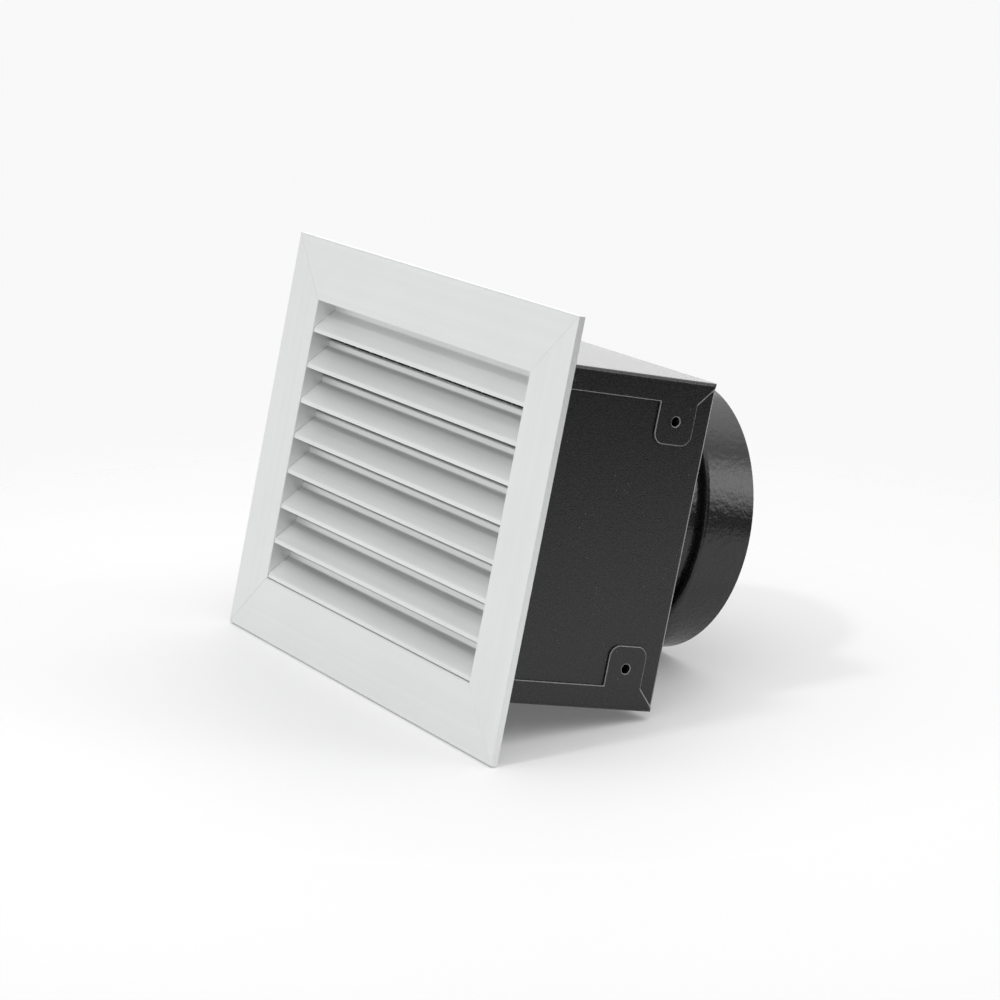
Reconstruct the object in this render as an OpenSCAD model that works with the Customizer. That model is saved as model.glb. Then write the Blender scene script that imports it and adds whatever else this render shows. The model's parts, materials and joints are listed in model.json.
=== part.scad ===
// Subfloor ventilation fan: a louvred wall grille on a folded steel box with a duct spigot.
// The wall plane is y = 0, the air path runs along +Y, +Z is up and the duct axis is x = z = 0.

/* [Wall frame] */
// Overall width of the wall flange
flange_w = 290; // [280:1:330]
// Overall height of the wall flange
flange_h = 225; // [218:1:260]
// Width of the flange border, from its outer edge to the louvre opening
border_w = 33.5; // [30:0.5:36]
// How far the flange stands in front of the wall plane
flange_depth = 3.6; // [3:0.1:5]
// Wall thickness of the frame extrusion
face_t = 1.6; // [1.2:0.1:2]
// How far the jamb reaches back behind the wall plane
jamb_len = 18; // [17.5:0.5:24]
// Thickness of the leg that the box slides over
leg_t = 1.2; // [1:0.1:1.6]
// Length of that leg behind the wall plane
leg_len = 5.5; // [4.5:0.1:5.6]
// Width of the corner key channel between jamb and leg
channel_w = 2.3; // [2.2:0.1:3]
// Radius along the front edges of the extrusion
front_edge_r = 0.8; // [0.3:0.1:1.4]
// Gap at each mitre joint
mitre_gap = 0.12; // [0.02:0.02:0.3]
// Arm length of a corner key
key_arm = 22; // [14:1:26]

/* [Louvres] */
// Overall height of one louvre blade
blade_h = 17.1; // [16.5:0.1:17.5]
// Wall thickness of a blade
blade_t = 1.1; // [0.9:0.1:1.4]
// Height of the upright lip at the front of a blade
front_lip_h = 2.6; // [1.8:0.1:3.2]
// Height of the upright lip at the back of a blade
rear_lip_h = 3.7; // [2.8:0.1:4.2]
// Height of the rounded bead along the top of that lip
bead_h = 1.7; // [1.3:0.1:2]
// How far the blades sit behind the front of the flange
blade_setback = 0.9; // [0.5:0.1:2]
// Gap between the top of the opening and the first blade
top_gap = 0.6; // [0.4:0.1:3]
// Gap between the last blade and the bottom of the opening
bottom_gap = 0.3; // [0.1:0.1:2]
// Gap at each end of a blade
end_gap = 0.15; // [0.05:0.05:0.3]
// Diameter of the tie rod behind the blades
tie_rod_d = 5; // [4.5:0.5:6]

/* [Vermin mesh] */
// Wire diameter
wire_d = 1.2; // [0.8:0.1:1.6]
// Largest distance from one wire to the next
mesh_pitch = 15.5; // [13:0.5:20]

/* [Box] */
// Sheet thickness
sheet_t = 1.2; // [0.8:0.1:1.6]
// Depth of the box behind the wall plane
box_depth = 106; // [100:1:130]
// Height of the lips that the top and bottom fold over the sides
lip_h = 12.5; // [9:0.5:16]
// Width of a fixing tab
tab_w = 23; // [18:0.5:28]
// How far a fixing tab reaches from the top or bottom of the box
tab_reach = 34; // [31:0.5:38]
// Corner radius of a fixing tab
tab_r = 6; // [3:0.5:8]
// Hole in a fixing tab
tab_hole_d = 5; // [3.5:0.5:6.5]
// Distance from the end of the box to the near side of a tab
tab_back = 10.6; // [8:0.2:14]
// Outside radius of the folds
fold_r = 2; // [1.7:0.1:3]

/* [Duct spigot] */
// How far the collar stands out from the neck
collar_step = 5; // [4:0.5:8]
// Length of the collar
collar_len = 32; // [25:1:45]
// Length of the neck from the box to the collar
neck_len = 41.4; // [30:0.2:50]
// Radius of the collar's shoulder
shoulder_r = 3; // [2:0.5:4]

/* [Fan] */
// Least room above and below the fan housing
fan_room_z = 9.1; // [7.1:0.1:9.1]
// Least room from the side of the box to a line along the fan housing's flat
fan_room_x = 41.6; // [39.6:0.1:41.6]
// How far the round ends of the fan housing reach past its flats
fan_ends = 11; // [10:0.5:12]
// Depth of the fan housing
fan_depth = 51; // [50:1:55]
// Width of the rim between the flats and the bore of the fan housing
fan_rim = 2; // [2:0.25:3]
// Tip clearance between impeller and housing
tip_gap = 1.5; // [0.8:0.1:2.5]
// Outside diameter of the impeller hub
hub_d = 63; // [62:1:68]
// Number of impeller blades
blade_count = 7; // [5:1:9]
// Blade angle at the hub
root_angle = 48; // [42:1:52]
// Blade angle at the tip
tip_angle = 26; // [20:1:32]
// Diameter of the fan bolts
bolt_d = 4; // [3.5:0.5:4.5]
// How far the fan bolts lie outside the flats of the fan housing
bolt_out = 6; // [5.5:0.25:6.5]
// Diameter of the rotor shaft
shaft_d = 6; // [5:0.5:7]
// Thickness of the rubber gasket behind the fan
gasket_t = 2; // [1:0.5:4]

/* [Hidden] */
$fn = 64;

// One overrun for every cut
cut = 1;

// Opening of the frame and places along the depth
open_w = flange_w - 2 * border_w;
open_h = flange_h - 2 * border_w;
face_y = -flange_depth;
plate_y = face_y + face_t;
leg_out = face_t + channel_w + leg_t;

// Box walls, worked out from the leg that they slide over
in_x = open_w / 2 + leg_out;
wall_x = in_x + sheet_t;
box_x = wall_x + sheet_t;
hem_z = open_h / 2 + leg_out;
in_z = hem_z + sheet_t;
box_z = in_z + sheet_t;
rear_y = box_depth;
rear_in_y = rear_y - sheet_t;

// Louvres
louvre_count = 8;
louvre_pitch = (open_h - top_gap - bottom_gap - blade_h) / (louvre_count - 1);
blade_y = face_y + blade_setback;
blade_run = blade_h - front_lip_h - rear_lip_h;
blade_len = open_w - 2 * end_gap;
edge_round_share = 0.45;
bead_t = 2.2;
bead_round_share = 0.6;
port_r = 2.9;
port_slot = 1.5;
screw_r = 1.45;
screw_hole_r = 1.9;
screw_head_r = 2.8;
screw_head_h = 1.8;
screw_len = 12;
// Where the screw port lies behind the web, as a share of the web's run
port_share = 0.89;
port_sink = 0.3;
web_drop = blade_t * tan(22.5);
port_off = (port_r + blade_t / 2 - port_sink) / sqrt(2);
port_y = blade_y + blade_t / 2 + blade_run * port_share + port_off;
port_z = front_lip_h - web_drop / 2 + blade_run * port_share - port_off;

// Tie rod, mesh and clips
rod_y = jamb_len - tie_rod_d / 2;
rod_hole_depth = screw_len + 1;
mesh_x = open_w / 2 + face_t / 2;
mesh_z = open_h / 2 + face_t / 2;
mesh_sink = 0.2;
mesh_y = jamb_len + wire_d / 2;
weft_y = mesh_y + wire_d - mesh_sink;
cells_x = ceil(2 * mesh_x / mesh_pitch);
cells_z = ceil(2 * mesh_z / mesh_pitch);
clip_t = 0.5;
clip_w = 8;
clip_grip = 5.2;
clip_back_y = weft_y + wire_d / 2;

// Box details
weld_hem = 8;
seam_y = rear_y - 2 * fold_r;
hem_len = 8;
hem_clear = 1.6;
rivet_r = 1.6;
rivet_head_r = 3.2;
rivet_head_h = 1;
rivet_tail_r = 2.2;
rivet_tail_h = 1.6;
rivet_y = 2;
rivet_x_share = 0.66;
rivet_z_share = 0.55;
mitre_tip = 0.5;
tab_near_y = rear_y - tab_back;
tab_hole_y = tab_near_y - tab_w / 2;
tab_hole_z = box_z - tab_reach + tab_w / 2 + 0.5 * sheet_t;

// Size of the fan, from the room inside the box: the duct is as wide as its flats are apart
fan_h = 2 * min(hem_z - fan_room_z, in_x - fan_room_x);
fan_w = fan_h + 2 * fan_ends;
bolt_circle_d = fan_h + 2 * bolt_out;

// Spigot details
spigot_t = 1.2;
spigot_plate_t = 1.5;
spigot_plate_out = 2.5;
spigot_ear_r = 6;
collar_r = fan_h / 2;
neck_r = collar_r - collar_step;
spigot_plate_r = collar_r + spigot_plate_out;

// Fan places along the depth
fan_rear_y = rear_in_y - gasket_t;
fan_front_y = fan_rear_y - fan_depth;
fan_flange_t = 4;
fan_bore_r = fan_h / 2 - fan_rim;
fan_wall = 1.8;
barrel_r = fan_bore_r + fan_wall;
mouth_r = 1.4;
ear_angle = 20;
bolt_angles = [ear_angle, 180 - ear_angle, 180 + ear_angle, -ear_angle];
bolt_slack = 0.3;
bolt_hole_r = bolt_d / 2 + bolt_slack;
strut_count = 4;
strut_w = 5;
strut_depth = 8;
rib_t = 2;
rib_set = 0.5;

// Motor, from the back of the fan to the front
base_r = 31;
base_depth = 10;
base_y = fan_rear_y - base_depth;
bearing_r = 8;
bearing_w = 5;
tube_wall = 2.5;
tube_r = bearing_r + tube_wall;
seat_lip = 1;
shell_gap = 2.8;
shell_wall = 3;
hub_wall = 3;
hub_r = hub_d / 2;
shell_r = hub_r - hub_wall;
shell_len = 30;
shell_back_y = base_y - shell_gap;
shell_front_y = shell_back_y - shell_len;
shell_face_t = 2.5;
air_gap = 0.8;
stator_r = shell_r - shell_wall - air_gap;
stator_len = 15;
slot_count = 12;
slot_w = 2.6;
tube_front_y = shell_front_y + shell_face_t + 2 * seat_lip;
stator_y = tube_front_y + 4;
winding_h = 3.4;
winding_in = 1.6;
running = 0.05;
snug = 0.02;
shaft_r = shaft_d / 2;
cap_t = 1.5;
clip_ring_t = 0.8;
clip_ring_r = shaft_r + 2.2;
rear_bearing_y = base_y;
rear_shaft_y = rear_bearing_y + bearing_w + 2 * seat_lip;

// Impeller
tip_r = fan_bore_r - tip_gap;
root_r = hub_r - 1;
blade_over = 1;
hub_face_t = 2.4;
hub_nose_r = 3;
chord_root = 34;
chord_tip = 42;
blade_mid_y = (shell_front_y + shell_back_y) / 2;
blade_thick_root = 2.8;
blade_thick_tip = 1.6;
camber_share = 0.09;
blade_sweep = 16;
stations = 6;
chord_steps = 7;

// Finger guard
guard_t = 3;
guard_y = fan_front_y - guard_t;
guard_rib = 1.6;
guard_spoke_w = 3;
guard_step = 0.5;
guard_rings = 8;
guard_in_r = 14;
guard_out_r = fan_h / 2 - guard_rib / 2;
guard_ear_r = bolt_d / 2 + 3.2;

// Bolts
bolt_head_r = 3.8;
bolt_head_h = 2.8;
bolt_key_r = 1.7;
bolt_head_y = guard_y;
washer_y = rear_y + spigot_plate_t;
washer_t = 0.8;
washer_r = 4.5;
nut_h = 3.2;
nut_r = 4.04;
bolt_end_y = washer_y + washer_t + nut_h + 2;

// Terminal block and cable gland
term_x = -(in_x + fan_w / 2) / 2;
term_z = -8;
term_w = 16;
term_h = 33;
term_d = 9;
tower_r = 3.6;
tower_h = 5;
wire_hole_r = 2;
term_screw_r = 1.7;
gland_x = term_x;
gland_rise = 24.1;
gland_z = gland_rise - hem_z;
gland_r = 8;
gland_bore_r = 4.2;
gland_hex_r = 12;
gland_hex_h = 4;
gland_neck_r = 9.2;
gland_neck_h = 7;
gland_cap_r = 11.4;
gland_cap_h = 11;
gland_tail = 8;
locknut_h = 4;

alu = [0.82, 0.83, 0.82];
blade_alu = [0.78, 0.79, 0.78];
steel_black = [0.13, 0.13, 0.14];
zinc = [0.7, 0.71, 0.73];

// Turns a solid made along +Z so that it runs along +Y
module along_y(y = 0) {
  translate([0, y, 0]) rotate([-90, 0, 0]) children();
}

// Places its child at each fan bolt, in the XZ plane
module at_bolts() {
  for (a = bolt_angles)
    translate([bolt_circle_d / 2 * cos(a), 0, bolt_circle_d / 2 * sin(a)]) children();
}

// The waste outside a rounded corner whose square corner is at the origin
module corner_waste(r) {
  difference() {
    translate([-cut, -cut]) square([r + cut, r + cut]);
    translate([r, r]) circle(r);
  }
}

// Ring along +Y
module ring_y(r_out, r_in, y, len) {
  along_y(y) difference() {
    cylinder(r = r_out, h = len);
    translate([0, 0, -cut]) cylinder(r = r_in, h = len + 2 * cut);
  }
}

// Section of the frame extrusion: x runs from the outer edge to the opening, y is the depth
module frame_section() {
  leg_u = border_w - leg_out;
  difference() {
    union() {
      translate([0, face_y]) square([border_w, face_t]);
      translate([0, face_y]) square([face_t, flange_depth]);
      translate([border_w - face_t, face_y]) square([face_t, flange_depth + jamb_len]);
      translate([leg_u, face_y]) square([leg_t, flange_depth + leg_len]);
    }
    translate([0, face_y]) corner_waste(front_edge_r);
    translate([border_w, face_y]) mirror([1, 0]) corner_waste(front_edge_r);
  }
}

// One mitred frame member, its outer edge on the Z axis
module frame_member(len) {
  half = len / 2 - mitre_gap / 2;
  color(alu) intersection() {
    linear_extrude(height = len, center = true) frame_section();
    translate([0, jamb_len + cut, 0]) rotate([90, 0, 0])
      linear_extrude(height = flange_depth + jamb_len + 2 * cut)
        polygon([[0, -half], [border_w, -half + border_w], [border_w, half - border_w], [0, half]]);
  }
}

// Holes for the screws that hold the louvre ends
module louvre_end_holes() {
  for (i = [1 : louvre_count])
    translate([0, port_y, louvre_z(i) + port_z]) rotate([0, 90, 0])
      cylinder(r = screw_hole_r, h = flange_w, center = true);
}

// Holes for the rivets that join the box to the frame's legs
module box_rivet_holes() {
  for (s = [-1, 1]) {
    translate([0, rivet_y, s * rivet_z_share * open_h / 2]) rotate([0, 90, 0])
      difference() {
        cylinder(r = rivet_r, h = flange_w, center = true);
        cylinder(r = rivet_r + cut, h = open_w + 2 * face_t + channel_w, center = true);
      }
    translate([s * rivet_x_share * open_w / 2, rivet_y, 0]) difference() {
      cylinder(r = rivet_r, h = flange_h, center = true);
      cylinder(r = rivet_r + cut, h = open_h + 2 * face_t + channel_w, center = true);
    }
  }
}

module tie_rod_holes() {
  translate([0, rod_y, 0]) cylinder(r = screw_hole_r, h = flange_h, center = true);
}

module frame_top() {
  color(alu) difference() {
    translate([0, 0, flange_h / 2]) rotate([0, 90, 0]) frame_member(flange_w);
    tie_rod_holes();
    box_rivet_holes();
  }
}

module frame_bottom() {
  color(alu) difference() {
    translate([0, 0, -flange_h / 2]) rotate([0, -90, 0]) frame_member(flange_w);
    tie_rod_holes();
    box_rivet_holes();
  }
}

module frame_left() {
  color(alu) difference() {
    translate([-flange_w / 2, 0, 0]) frame_member(flange_h);
    louvre_end_holes();
    box_rivet_holes();
  }
}

module frame_right() {
  color(alu) difference() {
    translate([flange_w / 2, 0, 0]) rotate([0, 180, 0]) frame_member(flange_h);
    louvre_end_holes();
    box_rivet_holes();
  }
}

// Four L-shaped keys in the channel behind the mitres
module corner_keys() {
  key_slack = 0.1;
  key_t = channel_w - 2 * key_slack;
  key_x = open_w / 2 + face_t + key_slack;
  key_z = open_h / 2 + face_t + key_slack;
  key_depth = leg_len - plate_y;
  color(zinc) for (sx = [-1, 1], sz = [-1, 1])
    scale_sign(sx, sz) translate([key_x, plate_y, key_z]) {
      translate([key_t - key_arm, 0, 0]) cube([key_arm, key_depth, key_t]);
      translate([0, 0, key_t - key_arm]) cube([key_t, key_depth, key_arm]);
    }
}

// Mirrors its child into one of the four quadrants of the XZ plane
module scale_sign(sx, sz) {
  if (sx > 0 && sz > 0) children();
  if (sx < 0 && sz > 0) mirror([1, 0, 0]) children();
  if (sx > 0 && sz < 0) mirror([0, 0, 1]) children();
  if (sx < 0 && sz < 0) rotate([0, 180, 0]) children();
}

// Height of the lowest point of blade i, counted from the top
function louvre_z(i) = open_h / 2 - top_gap - blade_h - (i - 1) * louvre_pitch;

// Section of a blade: x is the depth, y the height above its lowest point
module blade_section() {
  back = blade_y + blade_run;
  top = front_lip_h + blade_run;
  round_r = edge_round_share * blade_t;
  difference() {
    polygon([[blade_y, 0], [blade_y, front_lip_h], [back, top], [back, blade_h],
      [back + bead_t, blade_h], [back + bead_t, blade_h - bead_h],
      [back + blade_t, blade_h - bead_h], [back + blade_t, top - web_drop],
      [blade_y + blade_t, front_lip_h - web_drop], [blade_y + blade_t, 0]]);
    translate([blade_y, 0]) corner_waste(round_r);
    translate([blade_y + blade_t, 0]) mirror([1, 0]) corner_waste(round_r);
    translate([back, blade_h]) mirror([0, 1]) corner_waste(bead_round_share * bead_t);
    translate([back + bead_t, blade_h]) rotate(180) corner_waste(round_r);
    translate([back + bead_t, blade_h - bead_h]) mirror([1, 0]) corner_waste(round_r);
  }
}

// Louvre blade i with the slotted screw port along its back
module louvre(i) {
  color(blade_alu) translate([-blade_len / 2, 0, louvre_z(i)]) rotate([90, 0, 90]) difference() {
    union() {
      linear_extrude(height = blade_len) blade_section();
      translate([port_y, port_z, 0]) cylinder(r = port_r, h = blade_len);
    }
    translate([port_y, port_z, -cut]) {
      cylinder(r = screw_r, h = blade_len + 2 * cut);
      rotate(-45) translate([0, -port_slot / 2, 0])
        cube([port_r + cut, port_slot, blade_len + 2 * cut]);
    }
  }
}

module louvre_1() { louvre(1); }
module louvre_2() { louvre(2); }
module louvre_3() { louvre(3); }
module louvre_4() { louvre(4); }
module louvre_5() { louvre(5); }
module louvre_6() { louvre(6); }
module louvre_7() { louvre(7); }
module louvre_8() { louvre(8); }

// Round bar that keeps the top and bottom members apart
module tie_rod() {
  color(blade_alu) difference() {
    translate([0, rod_y, 0]) cylinder(d = tie_rod_d, h = open_h, center = true);
    for (s = [-1, 1]) translate([0, rod_y, s * open_h / 2])
      cylinder(r = screw_r, h = 2 * rod_hole_depth, center = true);
  }
}

// Pan head screw whose head seats at the origin and whose shank points along -Z
module grille_screw() {
  intersection() {
    cylinder(r = screw_head_r, h = screw_head_h);
    translate([0, 0, screw_head_h - 2 * screw_head_r]) sphere(r = 2 * screw_head_r);
  }
  translate([0, 0, -screw_len]) cylinder(r = screw_r - snug, h = screw_len + screw_head_h / 2);
}

module grille_screws() {
  color(zinc) {
    for (i = [1 : louvre_count], s = [-1, 1])
      translate([s * (open_w / 2 + face_t), port_y, louvre_z(i) + port_z])
        rotate([0, s * 90, 0]) grille_screw();
    for (s = [-1, 1]) translate([0, rod_y, s * (open_h / 2 + face_t)])
      rotate([s > 0 ? 0 : 180, 0, 0]) grille_screw();
  }
}

// Welded wire mesh that lies on the back edge of the jambs
module vermin_mesh() {
  step_x = 2 * mesh_x / cells_x;
  step_z = 2 * mesh_z / cells_z;
  color(zinc) union() {
    for (i = [0 : cells_x]) translate([i * step_x - mesh_x, mesh_y, 0])
      cylinder(d = wire_d, h = 2 * mesh_z + wire_d, center = true, $fn = 16);
    for (k = [0 : cells_z]) translate([0, weft_y, k * step_z - mesh_z]) rotate([0, 90, 0])
      cylinder(d = wire_d, h = 2 * mesh_x + wire_d, center = true, $fn = 16);
  }
}

// Spring clip that grips the jamb and the border wire: the jamb is at x = 0 to face_t
module mesh_clip() {
  clip_y = jamb_len - clip_grip;
  translate([-clip_t, clip_y, -clip_w / 2]) difference() {
    cube([face_t + 2 * clip_t, clip_back_y - clip_y + clip_t, clip_w]);
    translate([clip_t, -cut, -cut])
      cube([face_t, clip_back_y - clip_y + cut, clip_w + 2 * cut]);
  }
}

module mesh_clips() {
  step_x = 2 * mesh_x / cells_x;
  step_z = 2 * mesh_z / cells_z;
  clip_x = (floor(cells_x / 4) + 0.5) * step_x - mesh_x;
  clip_z = (floor(cells_z / 4) + 0.5) * step_z - mesh_z;
  color(zinc) for (sx = [-1, 1], sz = [-1, 1]) scale_sign(sx, sz) {
    translate([open_w / 2, 0, -clip_z]) mesh_clip();
    translate([-clip_x, 0, open_h / 2]) rotate([0, -90, 0]) mesh_clip();
  }
}

// Side of the box, welded to the back: it stops where the insides of the folds begin
module box_side(s) {
  side_z = in_z - fold_r + sheet_t;
  color(steel_black) difference() {
    translate([s > 0 ? in_x : -wall_x, plate_y, -side_z])
      cube([sheet_t, seam_y - plate_y, 2 * side_z]);
    for (k = [-1, 1]) translate([0, tab_hole_y, k * tab_hole_z]) rotate([0, 90, 0])
      cylinder(d = tab_hole_d, h = 3 * box_x, center = true);
    box_rivet_holes();
  }
}

module box_side_left() { box_side(-1); }
module box_side_right() { box_side(1); }

// Back of the box, folded forward at its left and right edges
module box_back() {
  color(steel_black) difference() {
    linear_extrude(height = 2 * in_z, center = true) difference() {
      fold_outline(wall_x, rear_y, fold_r);
      fold_outline(in_x, rear_in_y, fold_r - sheet_t, cut);
    }
    translate([-box_x, -rear_y, -box_z]) cube([2 * box_x, rear_y + seam_y, 2 * box_z]);
    for (s = [-1, 1], k = [-1, 1]) translate([s * wall_x, rear_y / 2, k * in_z])
      cube([2 * (fold_r + sheet_t), 2 * rear_y, 2 * (fold_r - sheet_t)], center = true);
    along_y(rear_in_y - cut) cylinder(r = neck_r, h = sheet_t + 2 * cut);
    translate([0, rear_in_y - cut, 0]) at_bolts() along_y()
      cylinder(r = bolt_hole_r, h = sheet_t + 2 * cut);
    translate([gland_x, rear_in_y - cut, gland_z]) along_y()
      cylinder(r = gland_r + running, h = sheet_t + 2 * cut);
  }
}

// Outline of the folded sheet in the XY plane, with round corners at the back
module fold_outline(x, y, r, over = 0) {
  difference() {
    translate([-x, plate_y - over]) square([2 * x, y - plate_y + over]);
    for (s = [-1, 1]) translate([s * x, y]) mirror([s > 0 ? 1 : 0, 0]) mirror([0, 1])
      corner_waste(r);
  }
}

// Top of the box, with its side lips, fixing tabs, front hem and the hem welded to the back
module box_panel() {
  lip_z = box_z - lip_h;
  difference() {
    union() {
      translate([0, rear_y, 0]) rotate([90, 0, 0]) linear_extrude(height = rear_y - plate_y)
        difference() {
          translate([-box_x, lip_z]) square([2 * box_x, lip_h]);
          for (s = [-1, 1]) translate([s * box_x, box_z]) mirror([s > 0 ? 1 : 0, 0])
            mirror([0, 1]) corner_waste(fold_r);
          difference() {
            translate([-wall_x, lip_z - cut]) square([2 * wall_x, lip_h - sheet_t + cut]);
            for (s = [-1, 1]) translate([s * wall_x, in_z]) mirror([s > 0 ? 1 : 0, 0])
              mirror([0, 1]) corner_waste(fold_r - sheet_t);
          }
        }
      for (s = [-1, 1]) translate([s * (wall_x + sheet_t / 2), 0, 0]) rotate([90, 0, 90])
        linear_extrude(height = sheet_t, center = true) tab_outline();
      translate([-in_x + hem_clear, plate_y, hem_z])
        cube([2 * (in_x - hem_clear), hem_len, sheet_t]);
      translate([2 * fold_r - in_x, rear_in_y - sheet_t, in_z - weld_hem])
        cube([2 * in_x - 4 * fold_r, sheet_t, weld_hem + sheet_t / 2]);
    }
    rotate([90, 0, 90]) linear_extrude(height = 3 * box_x, center = true)
      polygon([[rear_y - mitre_tip, box_z - fold_r], [tab_near_y, lip_z],
        [tab_near_y, lip_z - tab_reach], [rear_y + cut, lip_z - tab_reach],
        [rear_y + cut, box_z - fold_r]]);
    translate([0, tab_hole_y, tab_hole_z]) rotate([0, 90, 0])
      cylinder(d = tab_hole_d, h = 3 * box_x, center = true);
    box_rivet_holes();
  }
}

// Side view of a fixing tab: x is the depth, y the height
module tab_outline() {
  low = box_z - tab_reach;
  far_y = tab_near_y - tab_w;
  translate([far_y, low + tab_r]) square([tab_w, tab_reach - lip_h]);
  translate([far_y + tab_r, low]) square([tab_w - 2 * tab_r, tab_r + cut]);
  for (y = [far_y + tab_r, tab_near_y - tab_r]) translate([y, low + tab_r]) circle(tab_r);
}

module box_top() {
  color(steel_black) box_panel();
}

module box_bottom() {
  color(steel_black) mirror([0, 0, 1]) box_panel();
}

// Blind rivet along +Z: the head seats at the origin and the tail lies below the grip
module rivet(grip) {
  intersection() {
    cylinder(r = rivet_head_r, h = rivet_head_h);
    translate([0, 0, rivet_head_h - 2 * rivet_head_r]) sphere(r = 2 * rivet_head_r);
  }
  translate([0, 0, -grip - rivet_tail_h / 2])
    cylinder(r = rivet_r - snug, h = grip + rivet_tail_h / 2 + rivet_head_h / 2);
  translate([0, 0, -grip - rivet_tail_h]) cylinder(r = rivet_tail_r, h = rivet_tail_h);
}

module box_rivets() {
  color(steel_black) for (s = [-1, 1], k = [-1, 1]) {
    translate([k * wall_x, rivet_y, s * rivet_z_share * open_h / 2]) rotate([0, k * 90, 0])
      rivet(sheet_t + leg_t);
    translate([s * rivet_x_share * open_w / 2, rivet_y, k * box_z])
      rotate([k > 0 ? 0 : 180, 0, 0]) rivet(2 * sheet_t + leg_t);
  }
}

// Neck and collar, spun from one piece, on a plate that the fan bolts hold
module duct_spigot() {
  color([0.1, 0.1, 0.11]) difference() {
    union() {
      along_y(rear_y) rotate_extrude($fn = 96) difference() {
        union() {
          square([spigot_plate_r, spigot_plate_t]);
          square([neck_r, neck_len + spigot_t]);
          translate([0, neck_len]) difference() {
            square([collar_r, collar_len]);
            translate([collar_r, 0]) mirror([1, 0]) corner_waste(shoulder_r);
          }
        }
        translate([0, -cut]) square([neck_r - spigot_t, neck_len + spigot_t + 2 * cut]);
        translate([0, neck_len + spigot_t]) difference() {
          square([collar_r - spigot_t, collar_len + cut]);
          translate([collar_r - spigot_t, 0]) mirror([1, 0]) corner_waste(shoulder_r - spigot_t);
        }
      }
      at_bolts() along_y(rear_y) cylinder(r = spigot_ear_r, h = spigot_plate_t);
    }
    at_bolts() along_y(rear_y - cut) cylinder(r = bolt_hole_r, h = spigot_plate_t + 2 * cut);
  }
}

// Plate in the outline of the fan flange: a circle cut by two flats, with bore and bolt holes
module fan_flange(y, len, bore_r) {
  translate([0, y + len, 0]) rotate([90, 0, 0]) linear_extrude(height = len) difference() {
    intersection() {
      circle(d = fan_w);
      square([fan_w, fan_h], center = true);
    }
    circle(bore_r);
    for (a = bolt_angles) rotate(a) translate([bolt_circle_d / 2, 0]) circle(bolt_hole_r);
  }
}

module fan_gasket() {
  color([0.08, 0.08, 0.08]) fan_flange(fan_rear_y, gasket_t, fan_bore_r);
}

// Cast housing with its struts, motor base and bearing tube
module fan_housing() {
  color([0.16, 0.16, 0.17]) difference() {
    union() {
      for (y = [fan_front_y, fan_rear_y - fan_flange_t])
        fan_flange(y, fan_flange_t, barrel_r - (fan_wall - mouth_r) / 2);
      along_y(fan_front_y) rotate_extrude($fn = 96) translate([fan_bore_r, 0]) difference() {
        square([fan_wall, fan_depth]);
        corner_waste(mouth_r);
      }
      for (s = [0, 180]) rotate([0, s, 0])
        translate([fan_bore_r + fan_wall / 2, fan_front_y + rib_set, -rib_t / 2])
          cube([fan_w / 2 - rib_set - fan_bore_r - fan_wall / 2, fan_depth - 2 * rib_set, rib_t]);
      for (k = [0 : strut_count - 1]) rotate([0, 45 + k * 360 / strut_count, 0])
        translate([tube_r + tube_wall, fan_rear_y - strut_depth, -strut_w / 2])
          cube([fan_bore_r + fan_wall / 2 - tube_r - tube_wall, strut_depth - rib_set, strut_w]);
      along_y(base_y) cylinder(r = base_r, h = base_depth);
      along_y(tube_front_y) cylinder(r = tube_r, h = fan_rear_y - tube_front_y);
    }
    along_y(tube_front_y - cut) cylinder(r = bearing_r, h = bearing_w + cut);
    along_y(tube_front_y) cylinder(r = bearing_r - seat_lip, h = fan_depth);
    along_y(rear_bearing_y) cylinder(r = bearing_r, h = base_depth + cut);
  }
}

// Moulded guard over the fan's inlet: rings on spokes, with an ear for each bolt
module finger_guard() {
  step = (guard_out_r - guard_in_r) / (guard_rings - 1);
  color([0.12, 0.12, 0.13]) difference() {
    union() {
      for (k = [0 : guard_rings - 1])
        ring_y(guard_in_r + k * step + guard_rib / 2, guard_in_r + k * step - guard_rib / 2,
          guard_y + guard_step, guard_t - guard_step);
      for (a = bolt_angles) guard_spoke(a, bolt_circle_d / 2);
      for (a = [90, -90]) guard_spoke(a, guard_out_r);
      at_bolts() along_y(guard_y) cylinder(r = guard_ear_r, h = guard_t);
    }
    at_bolts() along_y(guard_y - cut) cylinder(r = bolt_hole_r, h = guard_t + 2 * cut);
  }
}

// One spoke of the guard, out to radius r
module guard_spoke(a, r) {
  rotate([0, -a, 0]) translate([guard_in_r, guard_y, -guard_spoke_w / 2])
    cube([r - guard_in_r, guard_t, guard_spoke_w]);
}

module fan_bolts() {
  color(zinc) at_bolts() difference() {
    union() {
      along_y(bolt_head_y - bolt_head_h) cylinder(r = bolt_head_r, h = bolt_head_h);
      along_y(bolt_head_y - bolt_head_h / 2)
        cylinder(d = bolt_d, h = bolt_end_y - bolt_head_y + bolt_head_h / 2);
    }
    along_y(bolt_head_y - bolt_head_h - cut)
      cylinder(r = bolt_key_r, h = bolt_head_h / 2 + cut, $fn = 6);
  }
}

module fan_washers() {
  color(zinc) at_bolts() ring_y(washer_r, bolt_d / 2 + 2 * running, washer_y, washer_t);
}

module fan_nuts() {
  color(zinc) at_bolts() along_y(washer_y + washer_t) difference() {
    cylinder(r = nut_r, h = nut_h, $fn = 6);
    translate([0, 0, -cut]) cylinder(r = bolt_d / 2 + snug, h = nut_h + 2 * cut);
  }
}

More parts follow.
